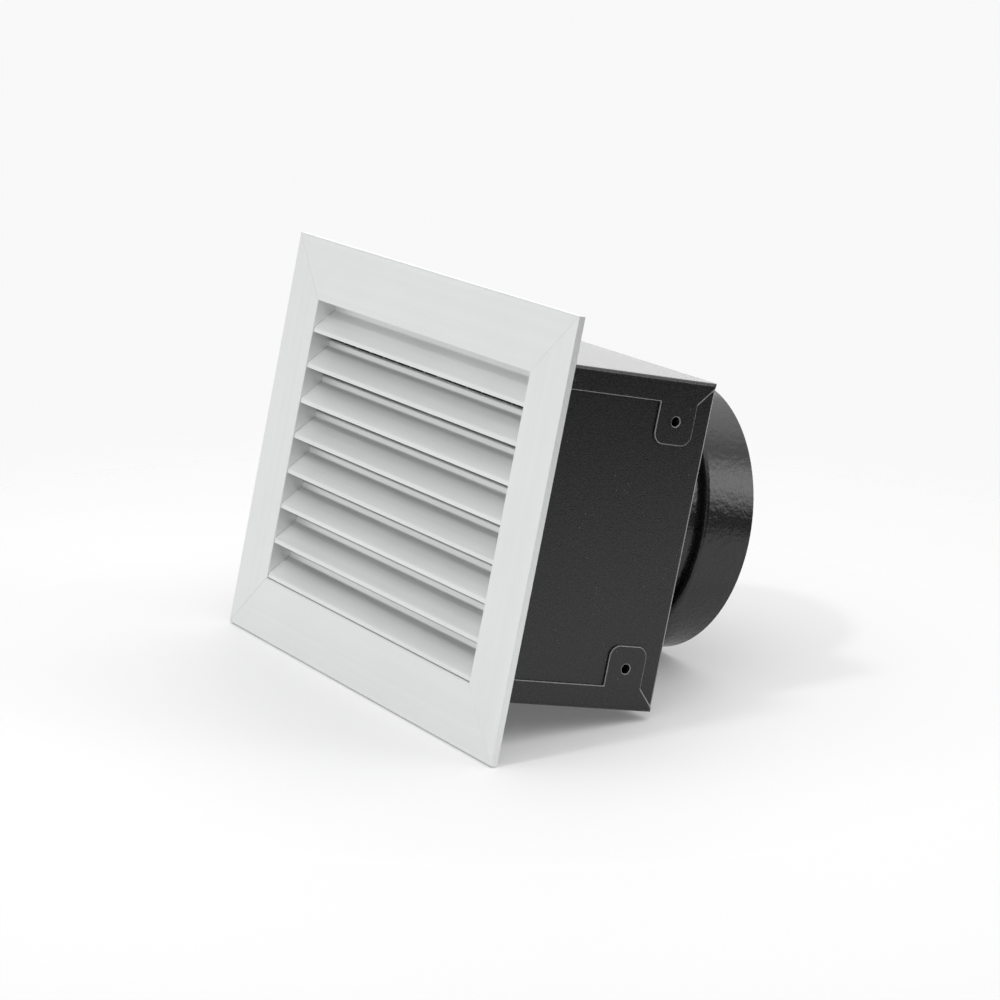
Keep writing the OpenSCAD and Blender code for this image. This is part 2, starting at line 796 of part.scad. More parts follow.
// Slotted stack on the bearing tube
module stator_core() {
  color([0.45, 0.45, 0.47]) along_y(stator_y) difference() {
    cylinder(r = stator_r, h = stator_len);
    translate([0, 0, -cut]) cylinder(r = tube_r + snug, h = stator_len + 2 * cut);
    for (k = [0 : slot_count - 1]) rotate(k * 360 / slot_count)
      translate([(tube_r + stator_r) / 2, -slot_w / 2, -cut])
        cube([stator_r, slot_w, stator_len + 2 * cut]);
  }
}

// End turns of the windings at both ends of the stack
module stator_windings() {
  mid = (tube_r + stator_r) / 2;
  half = stator_r - mid - winding_in;
  color([0.72, 0.42, 0.2]) for (y = [stator_y - winding_h, stator_y + stator_len])
    along_y(y) rotate_extrude() difference() {
      translate([mid - half, 0]) square([2 * half, winding_h]);
      for (s = [0, 1]) translate([mid + (2 * s - 1) * half, y < stator_y ? 0 : winding_h])
        mirror([s, 0]) mirror([0, y < stator_y ? 0 : 1]) corner_waste(winding_h / 3);
    }
}

// Shielded ball bearing
module bearing(y) {
  groove = 0.4;
  color([0.6, 0.61, 0.63]) along_y(y) difference() {
    cylinder(r = bearing_r - snug, h = bearing_w);
    translate([0, 0, -cut]) cylinder(r = shaft_r + running, h = bearing_w + 2 * cut);
    for (z = [-groove, bearing_w - groove]) translate([0, 0, z]) difference() {
      cylinder(r = bearing_r - seat_lip, h = 2 * groove);
      translate([0, 0, -cut]) cylinder(r = shaft_r + seat_lip, h = 2 * groove + 2 * cut);
    }
  }
}

module front_bearing() { bearing(tube_front_y); }
module rear_bearing() { bearing(rear_bearing_y); }

// Cap that closes the back of the motor base
module motor_cap() {
  color([0.12, 0.12, 0.12]) along_y(fan_rear_y - cap_t)
    cylinder(r = bearing_r - snug, h = cap_t);
}

// Steel cup of the external rotor
module rotor_shell() {
  color([0.35, 0.35, 0.37]) along_y(shell_front_y) difference() {
    cylinder(r = shell_r, h = shell_len);
    translate([0, 0, shell_face_t]) cylinder(r = shell_r - shell_wall, h = shell_len);
    translate([0, 0, -cut]) cylinder(r = shaft_r + snug, h = shell_len);
  }
}

module rotor_shaft() {
  color(zinc) along_y(shell_front_y) cylinder(r = shaft_r, h = rear_shaft_y - shell_front_y);
}

// Retaining ring behind the rear bearing
module shaft_clip() {
  color(zinc) ring_y(clip_ring_r, shaft_r + snug, rear_bearing_y + bearing_w + snug, clip_ring_t);
}

// Blade section number k: points round the section, from the leading edge and back
function blade_ring(k) =
  let (f = k / (stations - 1),
    r = root_r + f * (tip_r + blade_over - root_r),
    chord = chord_root + f * (chord_tip - chord_root),
    stagger = root_angle + f * (tip_angle - root_angle),
    thick = blade_thick_root + f * (blade_thick_tip - blade_thick_root))
  [for (j = [0 : 2 * chord_steps - 1])
    let (top = j < chord_steps,
      i = top ? j : 2 * chord_steps - 1 - j,
      s = i / (chord_steps - 1),
      body = 0.25 + 0.75 * sin(180 * pow(s, 0.7)),
      rise = camber_share * chord * sin(180 * s) + (top ? 1 : -1) * thick / 2 * body,
      along = (s - 0.5) * chord,
      axial = along * sin(stagger) - rise * cos(stagger),
      round_len = along * cos(stagger) + rise * sin(stagger),
      a = blade_sweep * f * f + round_len / r * 180 / PI)
    [r * cos(a), r * sin(a), axial]];

module impeller_blade() {
  n = 2 * chord_steps;
  points = [for (k = [0 : stations - 1]) each blade_ring(k)];
  sides = [for (k = [0 : stations - 2], j = [0 : n - 1])
    let (a = k * n + j, b = k * n + (j + 1) % n)
    each [[b + n, b, a], [a + n, b + n, a]]];
  // A section closes as a strip between its two faces
  root = [for (j = [0 : chord_steps - 2]) each [[n - 2 - j, n - 1 - j, j], [j + 1, n - 2 - j, j]]];
  tip = [for (t = root) [for (v = [2, 1, 0]) t[v] + (stations - 1) * n]];
  polyhedron(points = points, faces = concat(sides, root, tip));
}

// Moulded impeller: a hub that sleeves over the rotor, and twisted blades
module impeller() {
  color([0.1, 0.1, 0.1]) union() {
    along_y(shell_front_y - hub_face_t) rotate_extrude() difference() {
      difference() {
        square([hub_r, shell_len + hub_face_t]);
        translate([hub_r, 0]) mirror([1, 0]) corner_waste(hub_nose_r);
      }
      translate([-cut, hub_face_t]) square([shell_r + snug + cut, shell_len + cut]);
    }
    for (k = [0 : blade_count - 1]) along_y(blade_mid_y) rotate(k * 360 / blade_count)
      intersection() {
        impeller_blade();
        difference() {
          cylinder(r = tip_r, h = fan_depth, center = true);
          cylinder(r = shell_r + hub_wall / 2, h = fan_depth + cut, center = true);
        }
      }
  }
}

// Three-way terminal block on the back wall
module terminal_block() {
  pitch = term_h / 3;
  color([0.85, 0.84, 0.8]) translate([term_x, rear_in_y - term_d, term_z]) difference() {
    union() {
      translate([-term_w / 2, 0, -term_h / 2]) cube([term_w, term_d, term_h]);
      for (k = [-1 : 1], s = [-1, 1]) translate([s * term_w / 4, -tower_h, k * pitch])
        along_y() cylinder(r = tower_r, h = tower_h + term_d / 2);
    }
    for (k = [-1 : 1]) {
      translate([0, term_d / 2, k * pitch]) rotate([0, 90, 0])
        cylinder(r = wire_hole_r, h = term_w + 2 * cut, center = true);
      for (s = [-1, 1]) translate([s * term_w / 4, -tower_h - cut, k * pitch]) along_y()
        cylinder(r = term_screw_r, h = tower_h + term_d / 2 + cut);
    }
  }
}

module terminal_screws() {
  pitch = term_h / 3;
  len = tower_h + term_d / 2 - wire_hole_r - 1;
  color([0.8, 0.65, 0.35]) for (k = [-1 : 1], s = [-1, 1])
    translate([term_x + s * term_w / 4, rear_in_y - term_d - tower_h + 1, term_z + k * pitch])
      along_y() difference() {
        cylinder(r = term_screw_r - snug, h = len);
        translate([-term_screw_r, -0.15 * term_screw_r, -cut])
          cube([2 * term_screw_r, 0.3 * term_screw_r, cut + 0.4 * term_screw_r]);
      }
}

// Cable gland through the back wall: body, cap and inner locknut
module cable_gland() {
  color([0.14, 0.14, 0.14]) translate([gland_x, rear_y, gland_z]) along_y() difference() {
    union() {
      translate([0, 0, -gland_tail]) cylinder(r = gland_r, h = gland_tail + gland_hex_h);
      cylinder(r = gland_hex_r, h = gland_hex_h, $fn = 6);
      cylinder(r = gland_neck_r, h = gland_hex_h + gland_neck_h);
    }
    translate([0, 0, -gland_tail - cut])
      cylinder(r = gland_bore_r, h = gland_tail + gland_hex_h + gland_neck_h + 2 * cut);
  }
}

module gland_cap() {
  color([0.14, 0.14, 0.14]) translate([gland_x, rear_y + gland_hex_h, gland_z]) along_y()
    difference() {
      union() {
        cylinder(r = gland_cap_r, h = gland_cap_h * 0.75, $fn = 6);
        intersection() {
          cylinder(r = gland_cap_r * cos(30), h = gland_cap_h);
          sphere(r = gland_cap_h * 1.08);
        }
      }
      translate([0, 0, -cut]) cylinder(r = gland_neck_r + snug, h = gland_neck_h + cut + snug);
      translate([0, 0, -cut]) cylinder(r = gland_bore_r, h = gland_cap_h + 2 * cut);
    }
}

module gland_locknut() {
  color([0.14, 0.14, 0.14]) translate([gland_x, rear_in_y - locknut_h, gland_z]) along_y()
    difference() {
      cylinder(r = gland_hex_r, h = locknut_h, $fn = 6);
      translate([0, 0, -cut]) cylinder(r = gland_r + snug, h = locknut_h + 2 * cut);
    }
}

frame_top();
frame_bottom();
frame_left();
frame_right();
corner_keys();
louvre_1();
louvre_2();
louvre_3();
louvre_4();
louvre_5();
louvre_6();
louvre_7();
louvre_8();
tie_rod();
grille_screws();
vermin_mesh();
mesh_clips();
box_side_left();
box_side_right();
box_back();
box_top();
box_bottom();
box_rivets();
duct_spigot();
fan_gasket();
fan_housing();
finger_guard();
fan_bolts();
fan_washers();
fan_nuts();
stator_core();
stator_windings();
front_bearing();
rear_bearing();
motor_cap();
rotor_shell();
impeller();
rotor_shaft();
shaft_clip();
terminal_block();
terminal_screws();
cable_gland();
gland_cap();
gland_locknut();
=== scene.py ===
"""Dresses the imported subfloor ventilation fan: finishes, edges, louvres, mesh and studio."""

import json
import math

import bmesh
import bpy
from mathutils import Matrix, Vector


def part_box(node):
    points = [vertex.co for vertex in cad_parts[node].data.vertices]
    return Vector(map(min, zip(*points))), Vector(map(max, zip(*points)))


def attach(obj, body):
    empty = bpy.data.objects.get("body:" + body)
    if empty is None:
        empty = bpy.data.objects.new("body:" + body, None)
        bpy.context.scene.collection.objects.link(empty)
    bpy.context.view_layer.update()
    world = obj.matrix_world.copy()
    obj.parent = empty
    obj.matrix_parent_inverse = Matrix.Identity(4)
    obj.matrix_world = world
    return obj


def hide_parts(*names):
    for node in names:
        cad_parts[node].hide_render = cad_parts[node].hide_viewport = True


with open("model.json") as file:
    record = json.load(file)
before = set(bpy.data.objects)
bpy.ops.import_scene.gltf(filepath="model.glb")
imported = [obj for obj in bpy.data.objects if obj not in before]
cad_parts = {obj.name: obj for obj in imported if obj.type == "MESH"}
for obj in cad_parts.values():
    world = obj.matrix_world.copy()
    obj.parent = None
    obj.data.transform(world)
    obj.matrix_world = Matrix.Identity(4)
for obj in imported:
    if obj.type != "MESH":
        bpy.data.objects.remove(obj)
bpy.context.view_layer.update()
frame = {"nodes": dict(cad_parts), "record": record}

bl_info = {
    "name": "Subfloor ventilation fan",
    "version": (1, 0, 0),
    "blender": (4, 5, 0),
    "location": "3D View > Sidebar > Ventilation fan",
    "description": "Gives a louvred subfloor fan its finishes, edges, louvres, mesh and studio",
    "category": "Object",
}

MM = 0.001
# Axes of the shared frame: along the flange, into the wall and up
X, Y, Z = range(3)
LOUVRES = sorted(name for name in frame["nodes"] if name.startswith("louvre_"))


def span(node, axis):
    """Lowest and highest place of a CAD node along one axis, in metres."""
    low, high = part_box(node)
    return low[axis], high[axis]


def length(node, axis):
    """Size of a CAD node along one axis, in metres."""
    low, high = span(node, axis)
    return high - low


FLANGE_FRONT = span("frame_top", Y)[0]
LOUVRE_LENGTH = length(LOUVRES[0], X)
LOUVRE_HEIGHT = length(LOUVRES[0], Z)
LOUVRE_PITCH = span(LOUVRES[0], Z)[0] - span(LOUVRES[1], Z)[0]

# Angle by which a louvre's web leans
LEAN = math.radians(45)
# Corner radii of a louvre's section, as shares of its wall or of its bead's depth
EDGE_SHARE = 0.45
BEAD_SHARE = 0.6
INSIDE_SHARE = 0.1
# The screw port's place as a share of the web's run, and how far it sinks into the web
PORT_SHARE = 0.89
PORT_SINK = 0.3 * MM
# Steps of an arc in a section, at a bend and round a screw port
BEND_STEPS = 6
PORT_STEPS = 20
# Sides of a round wire
WIRE_SIDES = 14
QUARTER_TURN = math.radians(90)

# Height of the holes in the lids' tabs, above and below the middle
TAB_HOLE = 64.6 * MM
# Radius of the lids' back corners, and the shares of it at which they are cut before they bend
CORNER_RADIUS = 3.2 * MM
CUT_SHARES = (0.0, 0.35, 0.7)
# Place among a coated sheet's materials of the lighter colour that paints a highlight on its
# edges, folds and mitres
HIGHLIGHT_SLOT = 1

# Angles above which an edge is no longer flat, smooth or part of a bend
FLAT_ANGLE = math.radians(0.3)
SMOOTH_ANGLE = math.radians(32)
BEND_ANGLE = math.radians(38)
BEVEL_STEPS = 2
# Distances below which points are one: in a CAD mesh, in a drawn blade, and beside a line
SAME_POINT = 0.001 * MM
SAME_CORNER = 0.002 * MM
BESIDE = 0.1 * MM

# Ranges that hold nearly all values of a noise texture, and its middle values
NOISE_RANGE = (0.3, 0.7)
MIDDLE_RANGE = (0.35, 0.65)
# About the length in which a wave texture of scale 1 goes from light to dark
WAVE_STEP = 0.159

# Width of the camera's sensor in millimetres
SENSOR_WIDTH = 36
# Radius of the spigot's collar, on which the fan leans back
COLLAR_RADIUS = 75 * MM
FLOOR_GAP = 0.1 * MM
FLOOR_RINGS = 24
FLOOR_SPOKES = 96
# Heights of a view direction between which the tent's walls, and then its roof, change
WALL_FADE = (-0.02, 0.2)
ROOF_FADE = (0.5, 0.9)
# Parts of the tent with a strength of their own: the direction of the middle, the cosines of the
# angles at which the part begins and is full, and the setting that holds the strength
TENT_PARTS = (
    ((-0.83, -0.13, 0.54), 0.80, 0.95, "left_wall"),
    ((-0.83, 0.54, 0.13), 0.86, 0.97, "back_light"),
    ((0.83, 0.54, -0.08), 0.35, 0.78, "dark_side"),
    ((0.62, 0.60, 0.50), 0.94, 0.995, "soft_box"),
)


class GrilleSettings(bpy.types.PropertyGroup):
    """Sizes of the wall flange, its louvres and its vermin mesh."""

    edge_radius: bpy.props.FloatProperty(
        name="Cut edge radius", description="Radius along the sawn edges of the flange",
        default=0.22 * MM, min=0, subtype="DISTANCE", unit="LENGTH")
    louvre_thickness: bpy.props.FloatProperty(
        name="Louvre wall", description="Wall thickness of a louvre blade",
        default=1.1 * MM, min=0, subtype="DISTANCE", unit="LENGTH")
    front_lip: bpy.props.FloatProperty(
        name="Front lip", description="Height of the upright lip at the front of a louvre",
        default=2.6 * MM, min=0, subtype="DISTANCE", unit="LENGTH")
    rear_lip: bpy.props.FloatProperty(
        name="Rear lip", description="Height of the upright lip at the back of a louvre",
        default=3.7 * MM, min=0, subtype="DISTANCE", unit="LENGTH")
    bead_height: bpy.props.FloatProperty(
        name="Bead height", description="Height of the rounded bead along the top of a louvre",
        default=1.7 * MM, min=0, subtype="DISTANCE", unit="LENGTH")
    bead_depth: bpy.props.FloatProperty(
        name="Bead depth", description="Depth of that bead from front to back",
        default=2.2 * MM, min=0, subtype="DISTANCE", unit="LENGTH")
    port_radius: bpy.props.FloatProperty(
        name="Screw port radius", description="Outside radius of a louvre's screw port",
        default=2.9 * MM, min=0, subtype="DISTANCE", unit="LENGTH")
    port_bore: bpy.props.FloatProperty(
        name="Screw port bore", description="Radius of the bore in a louvre's screw port",
        default=1.45 * MM, min=0, subtype="DISTANCE", unit="LENGTH")
    port_slot: bpy.props.FloatProperty(
        name="Screw port slot", description="Width of the slot along a screw port",
        default=1.5 * MM, min=0, subtype="DISTANCE", unit="LENGTH")
    louvre_bend: bpy.props.FloatProperty(
        name="Louvre bend radius", description="Radius where a louvre's web meets its lips",
        default=1.6 * MM, min=0, subtype="DISTANCE", unit="LENGTH")
    louvre_setback: bpy.props.FloatProperty(
        name="Louvre setback", description="Depth from the flange's face to the louvres",
        default=0.9 * MM, min=0, subtype="DISTANCE", unit="LENGTH")
    wire_diameter: bpy.props.FloatProperty(
        name="Wire diameter", description="Diameter of the vermin mesh's wires",
        default=1.2 * MM, min=0.1 * MM, subtype="DISTANCE", unit="LENGTH")
    upright_wires: bpy.props.IntProperty(
        name="Upright wires", description="Number of upright wires in the vermin mesh",
        default=16, min=2)
    cross_wires: bpy.props.IntProperty(
        name="Cross wires", description="Number of level wires in the vermin mesh",
        default=12, min=2)


class BoxSettings(bpy.types.PropertyGroup):
    """Edges of the folded box and the spigot."""

    sheet_edge: bpy.props.FloatProperty(
        name="Sheet edge radius", description="Radius of the coated sheet's cut edges",
        default=0.45 * MM, min=0, subtype="DISTANCE", unit="LENGTH")
    # Width of the strip of painted highlight along the lids' slanted cuts
    mitre_highlight_width: bpy.props.FloatProperty(
        name="Mitre edge", description="Width of the thin coat along the lids' slanted cuts",
        default=0.8 * MM, min=0.1 * MM, soft_max=2 * MM, subtype="DISTANCE", unit="LENGTH")


class FanSettings(bpy.types.PropertyGroup):
    """Edges of the fan and its fittings."""

    casting_edge: bpy.props.FloatProperty(
        name="Casting edge radius", description="Edges of the housing, terminal block and gland",
        default=0.4 * MM, min=0, subtype="DISTANCE", unit="LENGTH")
    moulding_edge: bpy.props.FloatProperty(
        name="Moulding edge radius", description="Edges of the impeller, guard and gasket",
        default=0.3 * MM, min=0, subtype="DISTANCE", unit="LENGTH")
    fastener_edge: bpy.props.FloatProperty(
        name="Fastener edge radius", description="Edges of the bolts, washers and nuts",
        default=0.25 * MM, min=0, subtype="DISTANCE", unit="LENGTH")


class FinishSettings(bpy.types.PropertyGroup):
    """Colours of the finishes."""

    aluminium: bpy.props.FloatVectorProperty(
        name="Anodised aluminium", description="Colour of the flange and the louvres",
        default=(0.765, 0.78, 0.775), size=3, min=0, max=1, subtype="COLOR")
    black_coat: bpy.props.FloatVectorProperty(
        name="Black powder coat", description="Colour of the box's powder coat",
        default=(0.008, 0.008, 0.0085), size=3, min=0, max=1, subtype="COLOR")
    # Painted highlight: the light colour on the box's rounded edges, folds and mitre strips, for
    # the light they catch
    highlight_colour: bpy.props.FloatVectorProperty(
        name="Coat on edges", description="Colour of the powder coat where edges thin it",
        default=(0.23, 0.23, 0.232), size=3, min=0, max=1, subtype="COLOR")
    spigot_coat: bpy.props.FloatVectorProperty(
        name="Spigot coat", description="Colour of the spigot's smooth coat",
        default=(0.009, 0.009, 0.0095), size=3, min=0, max=1, subtype="COLOR")
    zinc: bpy.props.FloatVectorProperty(
        name="Zinc plate", description="Colour of plated screws, bolts and wire",
        default=(0.64, 0.65, 0.67), size=3, min=0, max=1, subtype="COLOR")
    black_plastic: bpy.props.FloatVectorProperty(
        name="Black plastic", description="Colour of the moulded black parts",
        default=(0.022, 0.022, 0.023), size=3, min=0, max=1, subtype="COLOR")
    # Painted glints: light points put into the powder coat's colour
    specks: bpy.props.FloatVectorProperty(
        name="Specks", description="Colour of the light specks in the powder coat",
        default=(0.30, 0.30, 0.31), size=3, min=0, max=1, subtype="COLOR")
    casting: bpy.props.FloatVectorProperty(
        name="Fan casting", description="Colour of the coat on the fan's housing",
        default=(0.035, 0.035, 0.038), size=3, min=0, max=1, subtype="COLOR")
    rubber: bpy.props.FloatVectorProperty(
        name="Rubber", description="Colour of the fan's gasket",
        default=(0.02, 0.02, 0.02), size=3, min=0, max=1, subtype="COLOR")
    laminations: bpy.props.FloatVectorProperty(
        name="Laminations", description="Colour of the stator's steel",
        default=(0.42, 0.42, 0.44), size=3, min=0, max=1, subtype="COLOR")
    copper: bpy.props.FloatVectorProperty(
        name="Copper wire", description="Colour of the windings",
        default=(0.62, 0.28, 0.12), size=3, min=0, max=1, subtype="COLOR")
    ivory: bpy.props.FloatVectorProperty(
        name="Ivory plastic", description="Colour of the terminal block",
        default=(0.78, 0.74, 0.62), size=3, min=0, max=1, subtype="COLOR")
    brass: bpy.props.FloatVectorProperty(
        name="Brass", description="Colour of the terminal screws",
        default=(0.78, 0.6, 0.28), size=3, min=0, max=1, subtype="COLOR")
    bearing_steel: bpy.props.FloatVectorProperty(
        name="Bearing steel", description="Colour of the bearings and the shaft",
        default=(0.6, 0.6, 0.62), size=3, min=0, max=1, subtype="COLOR")


class StageSettings(bpy.types.PropertyGroup):
    """Camera, floor, tent and key lamp."""

    camera_place: bpy.props.FloatVectorProperty(
        name="Camera place", description="Where the camera stands",
        default=(1.3537, -0.8172, 0.2113), size=3, subtype="TRANSLATION", unit="LENGTH")
    camera_turn: bpy.props.FloatVectorProperty(
        name="Camera turn", description="How the camera is turned",
        default=(math.radians(82.291), math.radians(-10.952), math.radians(58.334)),
        size=3, subtype="EULER")
    focal_length: bpy.props.FloatProperty(
        name="Focal length", description="Focal length in millimetres on a 36 mm sensor",
        default=109.31, min=1, subtype="DISTANCE_CAMERA")
    floor_radius: bpy.props.FloatProperty(
        name="Floor radius", description="Radius of the round floor",
        default=0.64, min=0.5, subtype="DISTANCE", unit="LENGTH")
    floor_tone: bpy.props.FloatProperty(
        name="Floor tone", description="Brightness of the floor's own colour",
        default=0.63, min=0, max=1, subtype="FACTOR")
    floor_fade: bpy.props.FloatProperty(
        name="Floor fade", description="Distance at which the floor melts into the background",
        default=0.31, min=0.1, subtype="DISTANCE", unit="LENGTH")
    floor_glow: bpy.props.FloatProperty(
        name="Floor glow", description="Light that comes up through the floor",
        default=0.135, min=0, soft_max=1, subtype="FACTOR")
    backdrop: bpy.props.FloatProperty(
        name="Backdrop tone", description="Brightness of the background, where 1 is white",
        default=0.945, min=0, max=1, subtype="FACTOR")
    low_wall: bpy.props.FloatProperty(
        name="Low wall", description="Strength of the tent's lit walls near the floor",
        default=0.95, min=0, soft_max=3, subtype="FACTOR")
    tent: bpy.props.FloatProperty(
        name="Tent light", description="Strength of the soft light from the tent's upper walls",
        default=0.65, min=0, soft_max=3, subtype="FACTOR")
    overhead: bpy.props.FloatProperty(
        name="Overhead light", description="Strength that the tent's roof adds",
        default=1.28, min=0, soft_max=3, subtype="FACTOR")
    left_wall: bpy.props.FloatProperty(
        name="Left wall", description="Strength of the shaded cloth high on the left",
        default=0.42, min=0, soft_max=3, subtype="FACTOR")
    back_light: bpy.props.FloatProperty(
        name="Back light", description="Strength of the lit cloth at the back left",
        default=2.0, min=0, soft_max=3, subtype="FACTOR")
    dark_side: bpy.props.FloatProperty(
        name="Dark side", description="Strength of the unlit side at the back right",
        default=0.02, min=0, soft_max=3, subtype="FACTOR")
    soft_box: bpy.props.FloatProperty(
        name="Soft box", description="Strength of the small soft box at the back right",
        default=4.0, min=0, soft_max=9, subtype="FACTOR")
    key_power: bpy.props.FloatProperty(
        name="Key lamp", description="Power of the lamp above the front",
        default=5.2, min=0, subtype="POWER", unit="POWER")
    key_size: bpy.props.FloatProperty(
        name="Key lamp size", description="Diameter of the lamp above the front",
        default=0.16, min=0.01, subtype="DISTANCE", unit="LENGTH")
    key_place: bpy.props.FloatVectorProperty(
        name="Key lamp place", description="Where the lamp above the front hangs",
        default=(0.2, -1.0, 1.12), size=3, subtype="TRANSLATION", unit="LENGTH")


def feed(tree, socket, value):
    """Links a socket to another one, or sets its value."""
    if isinstance(value, bpy.types.NodeSocket):
        tree.links.new(value, socket)
    else:
        socket.default_value = value


def add(tree, kind, inputs=None, **settings):
    """A new node in a tree, with its inputs fed from values or sockets."""
    made = tree.nodes.new(kind)
    for name, value in settings.items():
        setattr(made, name, value)
    for name, value in (inputs or {}).items():
        feed(tree, made.inputs[name], value)
    return made


class Shade:
    """A material or world being built, with short calls for the nodes that finishes need."""

    def __init__(self, holder):
        self.material = bpy.data.materials.new(holder) if isinstance(holder, str) else holder
        self.material.use_nodes = True
        self.tree = self.material.node_tree
        self.shader = self.tree.nodes.get("Principled BSDF")
        if self.shader is None:
            self.tree.nodes.clear()

    def node(self, kind, inputs=None, **settings):
        """A new shader node."""
        return add(self.tree, "ShaderNode" + kind, inputs, **settings)

    def set(self, **values):
        """Sets the shader's sockets: an underscore in a name stands for a space."""
        for name, value in values.items():
            feed(self.tree, self.shader.inputs[name.replace("_", " ")], value)

    def place(self, scale=1.0):
        """Places on the piece, scaled by one number or by a number for each axis."""
        at = self.node("TexCoord").outputs["Object"]
        each = scale if isinstance(scale, list) else [scale] * 3
        return self.node("Mapping", {"Vector": at, "Scale": each}).outputs["Vector"]

    def noise(self, scale, detail=2.0, roughness=0.5):
        """Noise whose scale is in cycles per metre."""
        return self.node("TexNoise", {"Vector": self.place(scale), "Scale": 1.0,
                                      "Detail": detail, "Roughness": roughness}).outputs["Fac"]

    def lines(self, step, distortion, **settings):
        """Light and dark lines, a step apart."""
        return self.node("TexWave", {"Vector": self.place(), "Scale": WAVE_STEP / step,
                                     "Distortion": distortion}, **settings).outputs["Fac"]

    def between(self, fac, low, high, fac_low=0.0, fac_high=1.0):
        """A number that runs from low to high as fac runs over its range."""
        return self.node("MapRange", {"Value": fac, "From Min": fac_low, "From Max": fac_high,
                                      "To Min": low, "To Max": high}).outputs["Result"]

    def mix(self, fac, first, second):
        """A colour between two colours."""
        made = self.node("Mix", {"Factor": fac}, data_type="RGBA")
        feed(self.tree, made.inputs["A"], first)
        feed(self.tree, made.inputs["B"], second)
        return made.outputs["Result"]

    def math(self, operation, first, second):
        """The result of a sum with two numbers."""
        return self.node("Math", {0: first, 1: second}, operation=operation).outputs["Value"]

    def bump(self, height, distance, strength, normal=None):
        """A surface direction that follows a height, over another direction if one is given."""
        inputs = {"Height": height, "Distance": distance, "Strength": strength}
        if normal is not None:
            inputs["Normal"] = normal
        return self.node("Bump", inputs).outputs["Normal"]


def shaded(color, factor=1.0):
    """The colour made lighter or darker by a factor, as a shader colour."""
    return tuple(min(part * factor, 1.0) for part in color[:3]) + (1.0,)


def stretched(across, along, axis):
    """A texture's scale on each axis, with a value of its own along one of them."""
    scale = [across] * 3
    scale[axis] = along
    return scale


def anodised(name, color, axis, streaks=1.0):
    """Satin anodised extrusion: fine die lines along one axis over a faint cloudiness."""
    shade = Shade(name)
    lines = shade.noise(stretched(1500.0, 5.0, axis), detail=3.0, roughness=0.6)
    bands = shade.noise(stretched(220.0, 2.0, axis))
    cloud = shade.noise(18.0)
    tone = shade.math("ADD", shade.math("MULTIPLY", bands, 0.6),
                      shade.math("MULTIPLY", cloud, 0.4))
    shade.set(
        Base_Color=shade.mix(shade.between(tone, 0.0, 1.0, *MIDDLE_RANGE),
                             shaded(color, 1 - 0.025 * streaks),
                             shaded(color, 1 + 0.012 * streaks)),
        Metallic=0.62,
        Roughness=shade.between(lines, 0.40, 0.52, *NOISE_RANGE),
        Normal=shade.bump(lines, 0.03 * MM, 0.22 * streaks))
    return shade.material


def powder_coat(name, color, specks, rough=0.21):
    """Powder coat with a fine pebbled grain, and a few light specks painted into its colour as
    glints.
    """
    shade = Shade(name)
    grain = shade.noise(1500.0, detail=3.0, roughness=0.6)
    wave = shade.noise(240.0, detail=1.0)
    # Light specks painted into the colour, standing in for glints on the grain
    cells = shade.node("TexVoronoi", {"Vector": shade.place(420.0), "Scale": 1.0,
                                      "Randomness": 1.0})
    speck = shade.between(cells.outputs["Distance"], 1.0, 0.0, 0.04, 0.09)
    rare = shade.between(shade.noise(60.0), 0.0, 1.0, 0.56, 0.6)
    shade.set(
        Base_Color=shade.mix(shade.math("MULTIPLY", speck, rare), shaded(color),
                             shaded(specks)),
        Roughness=shade.between(grain, rough, rough + 0.15, *MIDDLE_RANGE),
        Normal=shade.bump(grain, 0.22 * MM, 0.55, normal=shade.bump(wave, 0.25 * MM, 0.2)))
    return shade.material


def smooth_coat(name, color):
    """Semi-gloss black coat with orange peel."""
    shade = Shade(name)
    peel = shade.noise(300.0, detail=1.5)
    fine = shade.noise(1200.0)
    shade.set(
        Base_Color=shade.mix(shade.noise(40.0), shaded(color, 0.9), shaded(color, 1.15)),
        Roughness=shade.between(fine, 0.20, 0.30, *NOISE_RANGE),
        Normal=shade.bump(peel, 0.5 * MM, 0.5, normal=shade.bump(fine, 0.1 * MM, 0.3)))
    return shade.material


def plated(name, color, rough=0.34):
    """Plated steel with a faint mottle and fine scratches."""
    shade = Shade(name)
    mottle = shade.noise(500.0, detail=3.0, roughness=0.6)
    shade.set(
        Base_Color=shade.mix(mottle, shaded(color, 0.82), shaded(color, 1.12)),
        Metallic=1.0,
        Roughness=shade.between(mottle, rough - 0.06, rough + 0.08, *NOISE_RANGE),
        Normal=shade.bump(shade.noise(2400.0), 0.02 * MM, 0.3))
    return shade.material


def moulded(name, color, rough=0.5):
    """Moulded plastic, rubber or coated casting with a spark-eroded grain."""
    shade = Shade(name)
    grain = shade.noise(1300.0)
    shade.set(
        Base_Color=shade.mix(shade.noise(50.0), shaded(color, 0.9), shaded(color, 1.15)),
        Roughness=shade.between(grain, rough - 0.05, rough + 0.08, *NOISE_RANGE),
        Normal=shade.bump(grain, 0.04 * MM, 0.35))
    return shade.material


def laminated(name, color, step=0.5 * MM):
    """Stacked steel laminations, seen as fine lines along the shaft."""
    shade = Shade(name)
    bands = shade.lines(step, 0.0, bands_direction="Y")
    shade.set(
        Base_Color=shade.mix(bands, shaded(color, 0.6), shaded(color, 1.1)),
        Metallic=1.0,
        Roughness=shade.between(shade.noise(600.0), 0.3, 0.5, *NOISE_RANGE),
        Normal=shade.bump(bands, 0.06 * MM, 0.5))
    return shade.material


def wound(name, color, step=0.5 * MM):
    """Enamelled copper turns."""
    shade = Shade(name)
    turns = shade.lines(step, 1.5, wave_type="RINGS", rings_direction="Y")
    shade.set(
        Base_Color=shade.mix(turns, shaded(color, 0.7), shaded(color, 1.2)),
        Metallic=0.7, Roughness=0.3, Coat_Weight=0.6, Coat_Roughness=0.15,
        Normal=shade.bump(turns, 0.1 * MM, 0.7))
    return shade.material


